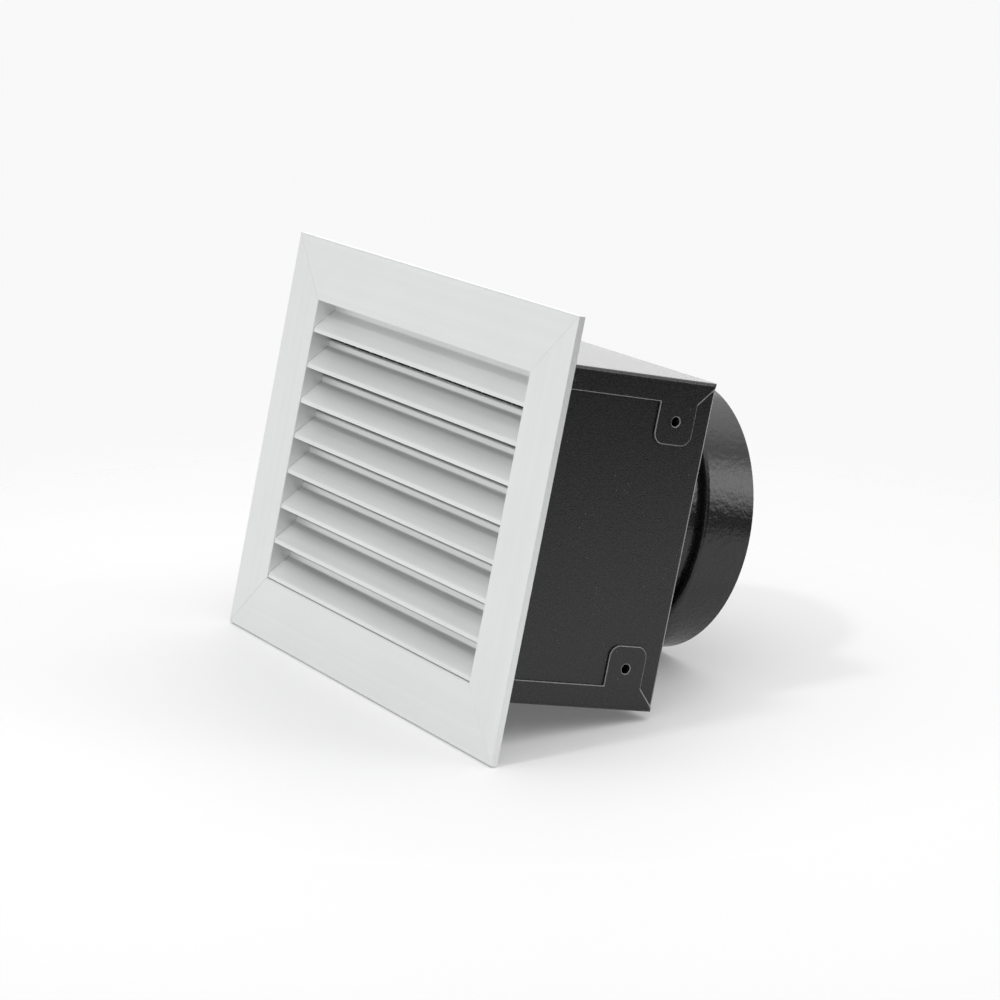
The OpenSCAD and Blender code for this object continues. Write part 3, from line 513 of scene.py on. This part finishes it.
def make_materials(finish):
    """Every finish, by the record's slot and, for the anodised pieces, by direction."""
    return {
        "flange_across": anodised("anodised_flange_across", finish.aluminium, X),
        "flange_upright": anodised("anodised_flange_upright", finish.aluminium, Z),
        "louvre": anodised("anodised_louvre", finish.aluminium, X, streaks=1.8),
        "tie_rod": anodised("anodised_tie_rod", finish.aluminium, Z),
        "powder_coat": powder_coat("black_powder_coat", finish.black_coat, finish.specks),
        # A lighter copy of the coat, painted on edges, folds and mitres as their highlight
        "painted_edge_highlight": powder_coat("black_coat_painted_highlight", finish.highlight_colour, finish.specks, rough=0.2),
        "spigot_paint": smooth_coat("black_spigot_coat", finish.spigot_coat),
        "zinc_steel": plated("zinc_plate", finish.zinc),
        "fan_casting": moulded("cast_fan_coat", finish.casting, rough=0.45),
        "black_nylon": moulded("black_nylon", finish.black_plastic),
        "gasket_rubber": moulded("gasket_rubber", finish.rubber, rough=0.75),
        "core_steel": laminated("core_steel", finish.laminations),
        "copper_winding": wound("copper_winding", finish.copper),
        "ivory_plastic": moulded("ivory_plastic", finish.ivory, rough=0.38),
        "brass_screw": plated("brass_screw", finish.brass),
        "bearing_steel": plated("bearing_steel", finish.bearing_steel, rough=0.22),
    }


# The finishes by name, once they are made
MATERIALS = {}


def material(name):
    """One finish by name; all of them are made on the first call."""
    if not MATERIALS:
        MATERIALS.update(make_materials(bpy.context.scene.fan_finish))
    return MATERIALS[name]


def slot_of(node):
    """The record's material slot of a CAD node."""
    for row in frame["record"]["subparts"]:
        if row["node"] == node:
            return row["material_slot"]
    raise ValueError(f"the record has no sub-part named {node}")


def body_of(node):
    """The body that a CAD node rides on."""
    for body, members in frame["record"]["behaviour"]["bodies"].items():
        if node in members:
            return body
    raise ValueError(f"no body holds {node}")


def new_piece(name, mesh):
    """An object for a finished mesh, in the scene's own collection."""
    made = bpy.data.objects.new(name, mesh)
    bpy.context.scene.collection.objects.link(made)
    return made


def settle(piece, nodes, finish):
    """Gives a finished piece its shading, its body and, if one is given, its only material."""
    mesh = piece.data
    if finish is not None:
        mesh.materials.clear()
        mesh.materials.append(finish)
    mesh.shade_smooth()
    mesh.set_sharp_from_angle(angle=SMOOTH_ANGLE)
    even = piece.modifiers.new("Even faces", "WEIGHTED_NORMAL")
    even.mode = "FACE_AREA"
    even.weight = 50
    even.keep_sharp = True
    applied(piece)
    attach(piece, body_of(nodes[0]))
    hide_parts(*nodes)
    return piece


def applied(piece):
    """The piece with its modifiers turned into a plain mesh."""
    graph = bpy.context.evaluated_depsgraph_get()
    mesh = bpy.data.meshes.new_from_object(piece.evaluated_get(graph))
    piece.modifiers.clear()
    piece.data = mesh
    return piece


def merged_copy(node, name):
    """A closed copy of a CAD node, with its flat faces whole again."""
    mesh = frame["nodes"][node].data.copy()
    work = bmesh.new()
    work.from_mesh(mesh)
    bmesh.ops.remove_doubles(work, verts=work.verts, dist=SAME_POINT)
    bmesh.ops.dissolve_limit(work, angle_limit=FLAT_ANGLE, verts=work.verts,
                             edges=work.edges, use_dissolve_boundaries=False)
    work.to_mesh(mesh)
    work.free()
    normals = mesh.attributes.get("custom_normal")
    if normals is not None:
        mesh.attributes.remove(normals)
    return new_piece(name, mesh)


def edge_bevel(piece, width, limit):
    """A modifier that rounds a piece's edges."""
    bevel = piece.modifiers.new("Edges", "BEVEL")
    bevel.width = width
    bevel.segments = BEVEL_STEPS
    bevel.limit_method = limit
    return bevel


def bevelled(node, finish, width):
    """A copy of a CAD node with its sharp edges rounded, in place of the node."""
    piece = merged_copy(node, node + "_finished")
    bevel = edge_bevel(piece, width, "ANGLE")
    bevel.angle_limit = BEND_ANGLE
    bevel.use_clamp_overlap = True
    bevel.miter_outer = "MITER_ARC"
    applied(piece)
    return settle(piece, [node], finish)


def coated_sheet(node, width, shape):
    """A copy of a CAD sheet whose rounded edges are painted with a highlight colour, in place of
    the node.

    The shape function changes the mesh and tells which of its edges are rounded.
    """
    piece = merged_copy(node, node + "_finished")
    mesh = piece.data
    mesh.materials.clear()
    mesh.materials.append(material("powder_coat"))
    mesh.materials.append(material("painted_edge_highlight"))
    work = bmesh.new()
    work.from_mesh(mesh)
    weight = work.edges.layers.float.new("bevel_weight_edge")
    for edge in shape(work):
        edge[weight] = 1.0
    work.to_mesh(mesh)
    work.free()
    bevel = edge_bevel(piece, width, "WEIGHT")
    bevel.use_clamp_overlap = False
    # The bevel's faces take the lighter colour, a painted highlight along the rounded edges
    bevel.material = HIGHLIGHT_SLOT
    applied(piece)
    return settle(piece, [node], None)


def sharp(edge):
    """Whether two faces of the sheet meet at the edge with a corner between them."""
    return len(edge.link_faces) == 2 and edge.calc_face_angle() > BEND_ANGLE


def slant(edge):
    """How far a sharp edge runs both along Y and along Z."""
    run = edge.verts[1].co - edge.verts[0].co
    return min(abs(run.y), abs(run.z)) if sharp(edge) and abs(run.x) < SAME_POINT else 0.0


def mitre_line(work):
    """The ends of a lid's slanted cut, from front to back, and the way from it into the sheet."""
    mitre = max(work.edges, key=slant)
    start, end = sorted((vert.co.copy() for vert in mitre.verts), key=lambda place: place.y)
    run = end - start
    inward = Vector((0, -abs(run.z), math.copysign(run.y, start.z))).normalized()
    return start, end, inward


def cut_through(work, planes):
    """Adds the edges where planes cross the sheet, and no others within its flat faces."""
    for place, facing in planes:
        cut = bmesh.ops.bisect_plane(work, geom=work.verts[:] + work.edges[:] + work.faces[:],
                                     dist=SAME_POINT, plane_co=place, plane_no=facing)
        for part in cut["geom_cut"]:
            if isinstance(part, bmesh.types.BMEdge):
                part.seam = True
    bmesh.ops.dissolve_limit(work, angle_limit=FLAT_ANGLE, verts=work.verts,
                             edges=work.edges, use_dissolve_boundaries=False, delimit={"SEAM"})


def paint_mitre_highlights(work, start, end, inward, width):
    """Paints a highlight, in the lighter edge colour, on the strip along a lid's slanted cuts."""
    for face in work.faces:
        middle = face.calc_center_median()
        if (abs(face.normal.x) > 0.5 and start.y < middle.y < end.y
                and 0 < (middle - start).dot(inward) < width
                and abs(middle.x) > abs(start.x) - BESIDE):
            face.material_index = HIGHLIGHT_SLOT


def round_corners(work, side, back):
    """Moves a lid's two back corners onto arcs, and tells which points lie in them."""
    corner = set()
    for vert in work.verts:
        out = Vector((abs(vert.co.x) - side, vert.co.y - back))
        if min(out) > -BESIDE:
            corner.add(vert)
        if min(out) > 0 and out.length > CORNER_RADIUS:
            out *= CORNER_RADIUS / out.length
            vert.co.x = math.copysign(side + out.x, vert.co.x)
            vert.co.y = back + out.y
    return corner


def folded_lid(work):
    """Shapes a lid, whose back corners follow the folds of the box's back.

    A strip along its slanted cuts gets a painted highlight in the lighter edge colour.
    """
    side = length("box_top", X) / 2 - CORNER_RADIUS
    back = span("box_top", Y)[1] - CORNER_RADIUS
    start, end, inward = mitre_line(work)
    width = bpy.context.scene.fan_box.mitre_highlight_width
    hole = math.copysign(TAB_HOLE, start.z)
    planes = [(start + inward * width, inward), (start, (end - start).normalized()),
              ((0, 0, hole), (0, 0, 1))]
    for share in CUT_SHARES:
        reach = share * CORNER_RADIUS
        planes += [((side + reach, 0, 0), (1, 0, 0)), ((-side - reach, 0, 0), (1, 0, 0)),
                   ((0, back + reach, 0), (0, 1, 0))]
    cut_through(work, planes)
    paint_mitre_highlights(work, start, end, inward, width)
    corner = round_corners(work, side, back)
    return [edge for edge in work.edges
            if sharp(edge) and not corner.issuperset(edge.verts)]


def folded_back(work):
    """Paints a highlight on the back's outer folds in the lighter edge colour, and leaves its
    edges square.
    """
    for face in work.faces:
        if min(abs(face.normal.x), abs(face.normal.y)) > 0.25:
            face.material_index = HIGHLIGHT_SLOT
    return []


def plain_sheet(work):
    """Leaves a sheet as it is."""
    return []


def paint(node, finish):
    """Gives a CAD node that keeps its own mesh a finish."""
    mesh = frame["nodes"][node].data
    mesh.materials.clear()
    mesh.materials.append(finish)


def new_tree(name, sizes):
    """A geometry tree with named inputs, its group input node and its group output node."""
    tree = bpy.data.node_groups.new(name, "GeometryNodeTree")
    face = tree.interface
    face.new_socket("Geometry", in_out="INPUT", socket_type="NodeSocketGeometry")
    for label, kind in sizes.items():
        face.new_socket(label, in_out="INPUT", socket_type="NodeSocket" + kind)
    face.new_socket("Geometry", in_out="OUTPUT", socket_type="NodeSocketGeometry")
    start = tree.nodes.new("NodeGroupInput")
    end = tree.nodes.new("NodeGroupOutput")
    return tree, start, end


def finish_tree(tree, geometry, finish_socket, end):
    """Ends a tree in real geometry with its material."""
    real = add(tree, "GeometryNodeRealizeInstances", {"Geometry": geometry})
    coated = add(tree, "GeometryNodeSetMaterial",
                 {"Geometry": real.outputs["Geometry"], "Material": finish_socket})
    tree.links.new(coated.outputs["Geometry"], end.inputs["Geometry"])


def run_tree(name, base, tree, values):
    """The plain mesh that a tree makes from a base mesh, as a new piece."""
    piece = new_piece(name, base)
    modifier = piece.modifiers.new(tree.name, "NODES")
    modifier.node_group = tree
    for item in tree.interface.items_tree:
        if item.in_out == "INPUT" and item.name in values:
            modifier[item.identifier] = values[item.name]
    return applied(piece)


def outline_mesh(name, *outlines):
    """Closed loops of edges, each through its own points in the XY plane."""
    points, edges = [], []
    for outline in outlines:
        first, count = len(points), len(outline)
        points += [(x, y, 0.0) for x, y in outline]
        edges += [(first + i, first + (i + 1) % count) for i in range(count)]
    mesh = bpy.data.meshes.new(name)
    mesh.from_pydata(points, edges, [])
    return mesh


def rounded(corners, radii):
    """The outline through corners, each turned into an arc of its own radius."""
    points = []
    for i, (corner, radius) in enumerate(zip(corners, radii)):
        here = Vector(corner)
        back = (Vector(corners[i - 1]) - here).normalized()
        ahead = (Vector(corners[(i + 1) % len(corners)]) - here).normalized()
        half = back.angle(ahead) / 2
        middle = here + (back + ahead).normalized() * radius / math.sin(half)
        first = here + back * radius / math.tan(half) - middle
        last = here + ahead * radius / math.tan(half) - middle
        turn = first.angle_signed(last)
        for k in range(BEND_STEPS + 1):
            angle = -turn * k / BEND_STEPS
            points.append(middle + Vector((
                first.x * math.cos(angle) - first.y * math.sin(angle),
                first.x * math.sin(angle) + first.y * math.cos(angle))))
    return points


def louvre_section(grille):
    """Corners of a blade's section: x is the depth and y the height above its lowest point."""
    wall, front, rear = grille.louvre_thickness, grille.front_lip, grille.rear_lip
    run = LOUVRE_HEIGHT - front - rear
    drop = wall * math.tan(LEAN / 2)
    bead = LOUVRE_HEIGHT - grille.bead_height
    return [
        (0, 0), (0, front), (run, front + run), (run, LOUVRE_HEIGHT),
        (run + grille.bead_depth, LOUVRE_HEIGHT), (run + grille.bead_depth, bead),
        (run + wall, bead), (run + wall, front + run - drop),
        (wall, front - drop), (wall, 0),
    ]


def louvre_bends(grille):
    """Radius of each corner of a blade's section, in the same order."""
    wall, bend = grille.louvre_thickness, grille.louvre_bend
    edge = EDGE_SHARE * wall
    return [edge, bend, bend, BEAD_SHARE * grille.bead_depth, edge, edge, INSIDE_SHARE * wall,
            bend - wall, bend - wall, edge]


def port_section(grille):
    """Points round the slotted screw port behind a blade's web."""
    wall, outer, bore = grille.louvre_thickness, grille.port_radius, grille.port_bore
    half = grille.port_slot / 2
    run = LOUVRE_HEIGHT - grille.front_lip - grille.rear_lip
    off = (outer + wall / 2 - PORT_SINK) / math.sqrt(2)
    middle = Vector((wall / 2 + PORT_SHARE * run + off,
                     grille.front_lip - wall * math.tan(LEAN / 2) / 2
                     + PORT_SHARE * run - off))
    points = []
    for radius, way in ((outer, 1), (bore, -1)):
        gap = math.asin(half / radius)
        for i in range(PORT_STEPS + 1):
            share = i / PORT_STEPS if way > 0 else 1 - i / PORT_STEPS
            turn = gap - LEAN + share * (2 * math.pi - 2 * gap)
            points.append(middle + radius * Vector((math.cos(turn), math.sin(turn))))
    return points


def louvre_tree():
    """Extrudes a blade's section and repeats the blade down the opening."""
    tree, start, end = new_tree("Louvre set", {
        "Blade length": "Float", "Blade count": "Int", "Pitch": "Float", "Place": "Vector",
        "Material": "Material"})
    size = start.outputs
    curve = add(tree, "GeometryNodeMeshToCurve", {"Mesh": size["Geometry"]})
    number = add(tree, "GeometryNodeInputIndex")
    face = add(tree, "GeometryNodeFillCurve",
               {"Curve": curve.outputs["Curve"], "Group ID": number.outputs["Index"]},
               mode="NGONS")
    offset = add(tree, "ShaderNodeCombineXYZ", {"Z": size["Blade length"]})
    drawn = add(tree, "GeometryNodeExtrudeMesh",
                {"Mesh": face.outputs["Mesh"], "Offset": offset.outputs["Vector"],
                 "Offset Scale": 1.0, "Individual": False}, mode="FACES")
    turned = add(tree, "GeometryNodeFlipFaces", {"Mesh": face.outputs["Mesh"]})
    both = add(tree, "GeometryNodeJoinGeometry")
    tree.links.new(drawn.outputs["Mesh"], both.inputs["Geometry"])
    tree.links.new(turned.outputs["Mesh"], both.inputs["Geometry"])
    closed = add(tree, "GeometryNodeMergeByDistance",
                 {"Geometry": both.outputs["Geometry"], "Distance": SAME_CORNER})
    lying = add(tree, "GeometryNodeTransform",
                {"Geometry": closed.outputs["Geometry"],
                 "Rotation": (QUARTER_TURN, 0, QUARTER_TURN)})
    down = add(tree, "ShaderNodeMath", {0: 0.0, 1: size["Pitch"]}, operation="SUBTRACT")
    step = add(tree, "ShaderNodeCombineXYZ", {"Z": down.outputs["Value"]})
    line = add(tree, "GeometryNodeMeshLine",
               {"Count": size["Blade count"], "Start Location": size["Place"],
                "Offset": step.outputs["Vector"]}, mode="OFFSET")
    blades = add(tree, "GeometryNodeInstanceOnPoints",
                 {"Points": line.outputs["Mesh"], "Instance": lying.outputs["Geometry"]})
    finish_tree(tree, blades.outputs["Instances"], size["Material"], end)
    return tree


def wire_tree():
    """A grid of round wires: uprights, and level wires welded across them."""
    tree, start, end = new_tree("Wire mesh", {
        "Width": "Float", "Height": "Float", "Uprights": "Int", "Cross wires": "Int",
        "Wire radius": "Float", "Depth": "Float", "Cross depth": "Float",
        "Material": "Material"})
    size = start.outputs
    layers = add(tree, "GeometryNodeJoinGeometry")
    for count, reach, other, depth, turn, axis in (
            ("Uprights", "Width", "Height", "Depth", 0.0, "X"),
            ("Cross wires", "Height", "Width", "Cross depth", QUARTER_TURN, "Z")):
        low = add(tree, "ShaderNodeMath", {0: size[reach], 1: -0.5}, operation="MULTIPLY")
        high = add(tree, "ShaderNodeMath", {0: size[reach], 1: 0.5}, operation="MULTIPLY")
        first = add(tree, "ShaderNodeCombineXYZ",
                    {axis: low.outputs["Value"], "Y": size[depth]})
        last = add(tree, "ShaderNodeCombineXYZ",
                   {axis: high.outputs["Value"], "Y": size[depth]})
        line = add(tree, "GeometryNodeMeshLine",
                   {"Count": size[count], "Start Location": first.outputs["Vector"],
                    "Offset": last.outputs["Vector"]}, mode="END_POINTS")
        long = add(tree, "ShaderNodeMath", {0: size["Wire radius"], 1: 2.0, 2: size[other]},
                   operation="MULTIPLY_ADD")
        wire = add(tree, "GeometryNodeMeshCylinder",
                   {"Vertices": WIRE_SIDES, "Radius": size["Wire radius"],
                    "Depth": long.outputs["Value"]})
        placed = add(tree, "GeometryNodeTransform",
                     {"Geometry": wire.outputs["Mesh"], "Rotation": (0, turn, 0)})
        wires = add(tree, "GeometryNodeInstanceOnPoints",
                    {"Points": line.outputs["Mesh"], "Instance": placed.outputs["Geometry"]})
        tree.links.new(wires.outputs["Instances"], layers.inputs["Geometry"])
    finish_tree(tree, layers.outputs["Geometry"], size["Material"], end)
    return tree


def add_camera(scene, stage):
    """The camera, and plain view settings."""
    camera = bpy.data.cameras.new("camera")
    camera.lens = stage.focal_length
    camera.sensor_width = SENSOR_WIDTH
    holder = new_piece("camera", camera)
    holder.location = stage.camera_place
    holder.rotation_euler = stage.camera_turn
    scene.camera = holder
    scene.view_settings.view_transform = "Standard"


def floor_material(stage, middle):
    """Pale floor that melts into the background a little way out."""
    shade = Shade("pale_floor")
    white = (1, 1, 1, 1)
    shade.set(Base_Color=shaded((stage.floor_tone,) * 3), Roughness=0.7,
              Specular_IOR_Level=0.2, Emission_Color=white, Emission_Strength=stage.floor_glow)
    out = shade.node("VectorMath", {0: shade.place(), 1: middle}, operation="SUBTRACT")
    away = shade.node("VectorMath", {0: out.outputs["Vector"]}, operation="LENGTH")
    fade = shade.between(away.outputs["Value"], 0.0, 1.0, stage.floor_fade,
                         2 * stage.floor_fade)
    path = shade.node("LightPath")
    seen = shade.math("MULTIPLY", fade, path.outputs["Is Camera Ray"])
    clear = shade.node("BsdfTransparent")
    both = shade.node("MixShader", {0: seen, 1: shade.shader.outputs["BSDF"],
                                    2: clear.outputs["BSDF"]})
    end = shade.tree.nodes["Material Output"]
    feed(shade.tree, end.inputs["Surface"], both.outputs["Shader"])
    return shade.material


def add_floor(stage, front, back):
    """A round floor through the flange's lower edge and the collar's lowest point."""
    across = Vector((1, 0, 0))
    along = (back - front).normalized()
    up = across.cross(along).normalized()
    middle = (front + back) / 2
    points = [middle]
    faces = []
    for i in range(1, FLOOR_RINGS + 1):
        radius = stage.floor_radius * i / FLOOR_RINGS
        for k in range(FLOOR_SPOKES):
            turn = 2 * math.pi * k / FLOOR_SPOKES
            points.append(middle + radius * (math.cos(turn) * across + math.sin(turn) * along))
    for k in range(FLOOR_SPOKES):
        after = (k + 1) % FLOOR_SPOKES
        faces.append((0, 1 + k, 1 + after))
        for i in range(FLOOR_RINGS - 1):
            inner, outer = 1 + i * FLOOR_SPOKES, 1 + (i + 1) * FLOOR_SPOKES
            faces.append((inner + k, outer + k, outer + after, inner + after))
    mesh = bpy.data.meshes.new("floor")
    mesh.from_pydata([tuple(point - FLOOR_GAP * up) for point in points], [], faces)
    mesh.materials.append(floor_material(stage, middle))
    new_piece("floor", mesh)


def add_tent(scene, stage):
    """A pale tent all round, with a plain backdrop where the camera sees it."""
    world = bpy.data.worlds.new("studio")
    scene.world = world
    shade = Shade(world)
    way = shade.node("TexCoord").outputs["Generated"]
    up = shade.node("SeparateXYZ", {"Vector": way}).outputs["Z"]
    light = shade.math("ADD", shade.between(up, stage.low_wall, stage.tent, *WALL_FADE),
                       shade.between(up, 0.0, stage.overhead, *ROOF_FADE))
    for facing, begins, full, strength in TENT_PARTS:
        toward = shade.node("VectorMath", {0: way, 1: Vector(facing).normalized()},
                            operation="DOT_PRODUCT")
        share = shade.between(toward.outputs["Value"], 0.0, 1.0, begins, full)
        light = shade.node("Mix", {"Factor": share, 2: light,
                                   3: getattr(stage, strength)}).outputs[0]
    path = shade.node("LightPath").outputs
    seen = shade.math("MAXIMUM", path["Is Camera Ray"], path["Is Transmission Ray"])
    tone = shade.node("Mix", {"Factor": seen, 2: light, 3: stage.backdrop}).outputs[0]
    sky = shade.node("Background", {"Color": (1, 1, 1, 1), "Strength": tone})
    shade.node("OutputWorld", {"Surface": sky.outputs["Background"]})


def add_key_lamp(stage, target):
    """The round lamp above the front, turned to its target."""
    lamp = bpy.data.lights.new("key_lamp", "AREA")
    lamp.shape = "DISK"
    lamp.size = stage.key_size
    lamp.energy = stage.key_power
    holder = new_piece("key_lamp", lamp)
    holder.location = stage.key_place
    aim = target - holder.location
    holder.rotation_euler = aim.to_track_quat("-Z", "Y").to_euler()


class FAN_OT_stage(bpy.types.Operator):
    """Sets the camera, the pale floor, the tent and the key lamp"""

    bl_idname = "subfloor_fan.stage"
    bl_label = "Camera, floor and lamps"
    bl_options = {"REGISTER", "UNDO"}

    def execute(self, context):
        stage = context.scene.fan_stage
        front = Vector((0, 0, span("frame_bottom", Z)[0]))
        back = Vector((0, span("duct_spigot", Y)[1], -COLLAR_RADIUS))
        add_camera(context.scene, stage)
        add_floor(stage, front, back)
        add_tent(context.scene, stage)
        add_key_lamp(stage, (front + back) / 2)
        return {"FINISHED"}


class FAN_OT_flange(bpy.types.Operator):
    """Finishes the four mitred extrusions of the wall flange"""

    bl_idname = "subfloor_fan.flange"
    bl_label = "Wall flange"
    bl_options = {"REGISTER", "UNDO"}

    def execute(self, context):
        edge = context.scene.fan_grille.edge_radius
        for side, way in (("top", "across"), ("bottom", "across"),
                          ("left", "upright"), ("right", "upright")):
            bevelled("frame_" + side, material("flange_" + way), edge)
        paint("corner_keys", material("zinc_steel"))
        return {"FINISHED"}


class FAN_OT_louvres(bpy.types.Operator):
    """Makes the set of louvre blades from their section"""

    bl_idname = "subfloor_fan.louvres"
    bl_label = "Louvres"
    bl_options = {"REGISTER", "UNDO"}

    def execute(self, context):
        grille = context.scene.fan_grille
        place = (-LOUVRE_LENGTH / 2, FLANGE_FRONT + grille.louvre_setback,
                 span(LOUVRES[0], Z)[0])
        piece = run_tree(
            "louvre_set",
            outline_mesh("louvre_section",
                         rounded(louvre_section(grille), louvre_bends(grille)),
                         port_section(grille)),
            louvre_tree(),
            {"Blade length": LOUVRE_LENGTH, "Blade count": len(LOUVRES),
             "Pitch": LOUVRE_PITCH, "Place": place, "Material": material("louvre")})
        settle(piece, LOUVRES, material("louvre"))
        return {"FINISHED"}


class FAN_OT_mesh(bpy.types.Operator):
    """Makes the vermin mesh, and finishes its clips, the tie rod and the grille's screws"""

    bl_idname = "subfloor_fan.vermin_mesh"
    bl_label = "Vermin mesh"
    bl_options = {"REGISTER", "UNDO"}

    def execute(self, context):
        grille = context.scene.fan_grille
        low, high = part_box("vermin_mesh")
        wire = grille.wire_diameter
        piece = run_tree(
            "vermin_mesh_wires", bpy.data.meshes.new("vermin_mesh_wires"), wire_tree(),
            {"Width": high.x - low.x - wire, "Height": high.z - low.z - wire,
             "Uprights": grille.upright_wires, "Cross wires": grille.cross_wires,
             "Wire radius": wire / 2, "Depth": low.y + wire / 2,
             "Cross depth": high.y - wire / 2, "Material": material("zinc_steel")})
        settle(piece, ["vermin_mesh"], material("zinc_steel"))
        paint("tie_rod", material("tie_rod"))
        for node in ("mesh_clips", "grille_screws"):
            paint(node, material("zinc_steel"))
        return {"FINISHED"}


class FAN_OT_box(bpy.types.Operator):
    """Finishes the folded box and its blind rivets"""

    bl_idname = "subfloor_fan.box"
    bl_label = "Box"
    bl_options = {"REGISTER", "UNDO"}

    def execute(self, context):
        edge = context.scene.fan_box.sheet_edge
        for node, shape in (("box_side_left", plain_sheet), ("box_side_right", plain_sheet),
                            ("box_back", folded_back), ("box_top", folded_lid),
                            ("box_bottom", folded_lid)):
            coated_sheet(node, edge, shape)
        paint("box_rivets", material("powder_coat"))
        return {"FINISHED"}


class FAN_OT_spigot(bpy.types.Operator):
    """Finishes the duct spigot"""

    bl_idname = "subfloor_fan.spigot"
    bl_label = "Duct spigot"
    bl_options = {"REGISTER", "UNDO"}

    def execute(self, context):
        bevelled("duct_spigot", material("spigot_paint"), context.scene.fan_box.sheet_edge)
        return {"FINISHED"}


class FAN_OT_fan(bpy.types.Operator):
    """Finishes the fan's housing, its guard, its gasket and its bolts with washers and nuts"""

    bl_idname = "subfloor_fan.fan"
    bl_label = "Fan housing"
    bl_options = {"REGISTER", "UNDO"}

    def execute(self, context):
        edges = context.scene.fan_parts
        bevelled("fan_housing", material("fan_casting"), edges.casting_edge)
        bevelled("finger_guard", material("black_nylon"), edges.moulding_edge)
        bevelled("fan_gasket", material("gasket_rubber"), edges.moulding_edge)
        for node in ("fan_bolts", "fan_washers", "fan_nuts"):
            bevelled(node, material("zinc_steel"), edges.fastener_edge)
        return {"FINISHED"}


class FAN_OT_motor(bpy.types.Operator):
    """Finishes the motor's stator, windings, cap and bearings"""

    bl_idname = "subfloor_fan.motor"
    bl_label = "Motor"
    bl_options = {"REGISTER", "UNDO"}

    def execute(self, context):
        for node in ("stator_core", "stator_windings", "motor_cap"):
            paint(node, material(slot_of(node)))
        for node in ("front_bearing", "rear_bearing"):
            paint(node, material("bearing_steel"))
        return {"FINISHED"}


class FAN_OT_rotor(bpy.types.Operator):
    """Finishes the impeller, the rotor shell, the shaft and its clip"""

    bl_idname = "subfloor_fan.rotor"
    bl_label = "Rotor"
    bl_options = {"REGISTER", "UNDO"}

    def execute(self, context):
        bevelled("impeller", material("black_nylon"), context.scene.fan_parts.moulding_edge)
        for node in ("rotor_shell", "rotor_shaft", "shaft_clip"):
            paint(node, material("bearing_steel"))
        return {"FINISHED"}


class FAN_OT_wiring(bpy.types.Operator):
    """Finishes the terminal block and the cable gland"""

    bl_idname = "subfloor_fan.wiring"
    bl_label = "Wiring parts"
    bl_options = {"REGISTER", "UNDO"}

    def execute(self, context):
        edge = context.scene.fan_parts.casting_edge
        bevelled("terminal_block", material("ivory_plastic"), edge)
        paint("terminal_screws", material("brass_screw"))
        for node in ("cable_gland", "gland_cap", "gland_locknut"):
            bevelled(node, material("black_nylon"), edge)
        return {"FINISHED"}


STEPS = (FAN_OT_stage, FAN_OT_flange, FAN_OT_louvres, FAN_OT_mesh, FAN_OT_box,
         FAN_OT_spigot, FAN_OT_fan, FAN_OT_motor, FAN_OT_rotor, FAN_OT_wiring)
SETTINGS = {"fan_grille": GrilleSettings, "fan_box": BoxSettings, "fan_parts": FanSettings,
            "fan_finish": FinishSettings, "fan_stage": StageSettings}


class FAN_PT_panel(bpy.types.Panel):
    """Lists the fan's steps and sizes in the sidebar"""

    bl_idname = "FAN_PT_panel"
    bl_label = "Subfloor ventilation fan"
    bl_space_type = "VIEW_3D"
    bl_region_type = "UI"
    bl_category = "Ventilation fan"

    def draw(self, context):
        layout = self.layout
        for step in STEPS:
            layout.operator(step.bl_idname)
        for name, group in SETTINGS.items():
            box = layout.box()
            for label in group.__annotations__:
                box.prop(getattr(context.scene, name), label)


def register():
    """Registers the settings, the steps and the panel."""
    for made in (*SETTINGS.values(), *STEPS, FAN_PT_panel):
        bpy.utils.register_class(made)
    for name, group in SETTINGS.items():
        setattr(bpy.types.Scene, name, bpy.props.PointerProperty(type=group))


def unregister():
    """Takes away what register added, in the opposite order."""
    for name in SETTINGS:
        delattr(bpy.types.Scene, name)
    for made in (FAN_PT_panel, *reversed(STEPS), *reversed(SETTINGS.values())):
        bpy.utils.unregister_class(made)


def main():
    """Dresses the fan."""
    register()
    for step in STEPS:
        family, name = step.bl_idname.split(".")
        getattr(getattr(bpy.ops, family), name)()


if __name__ == "__main__":
    main()
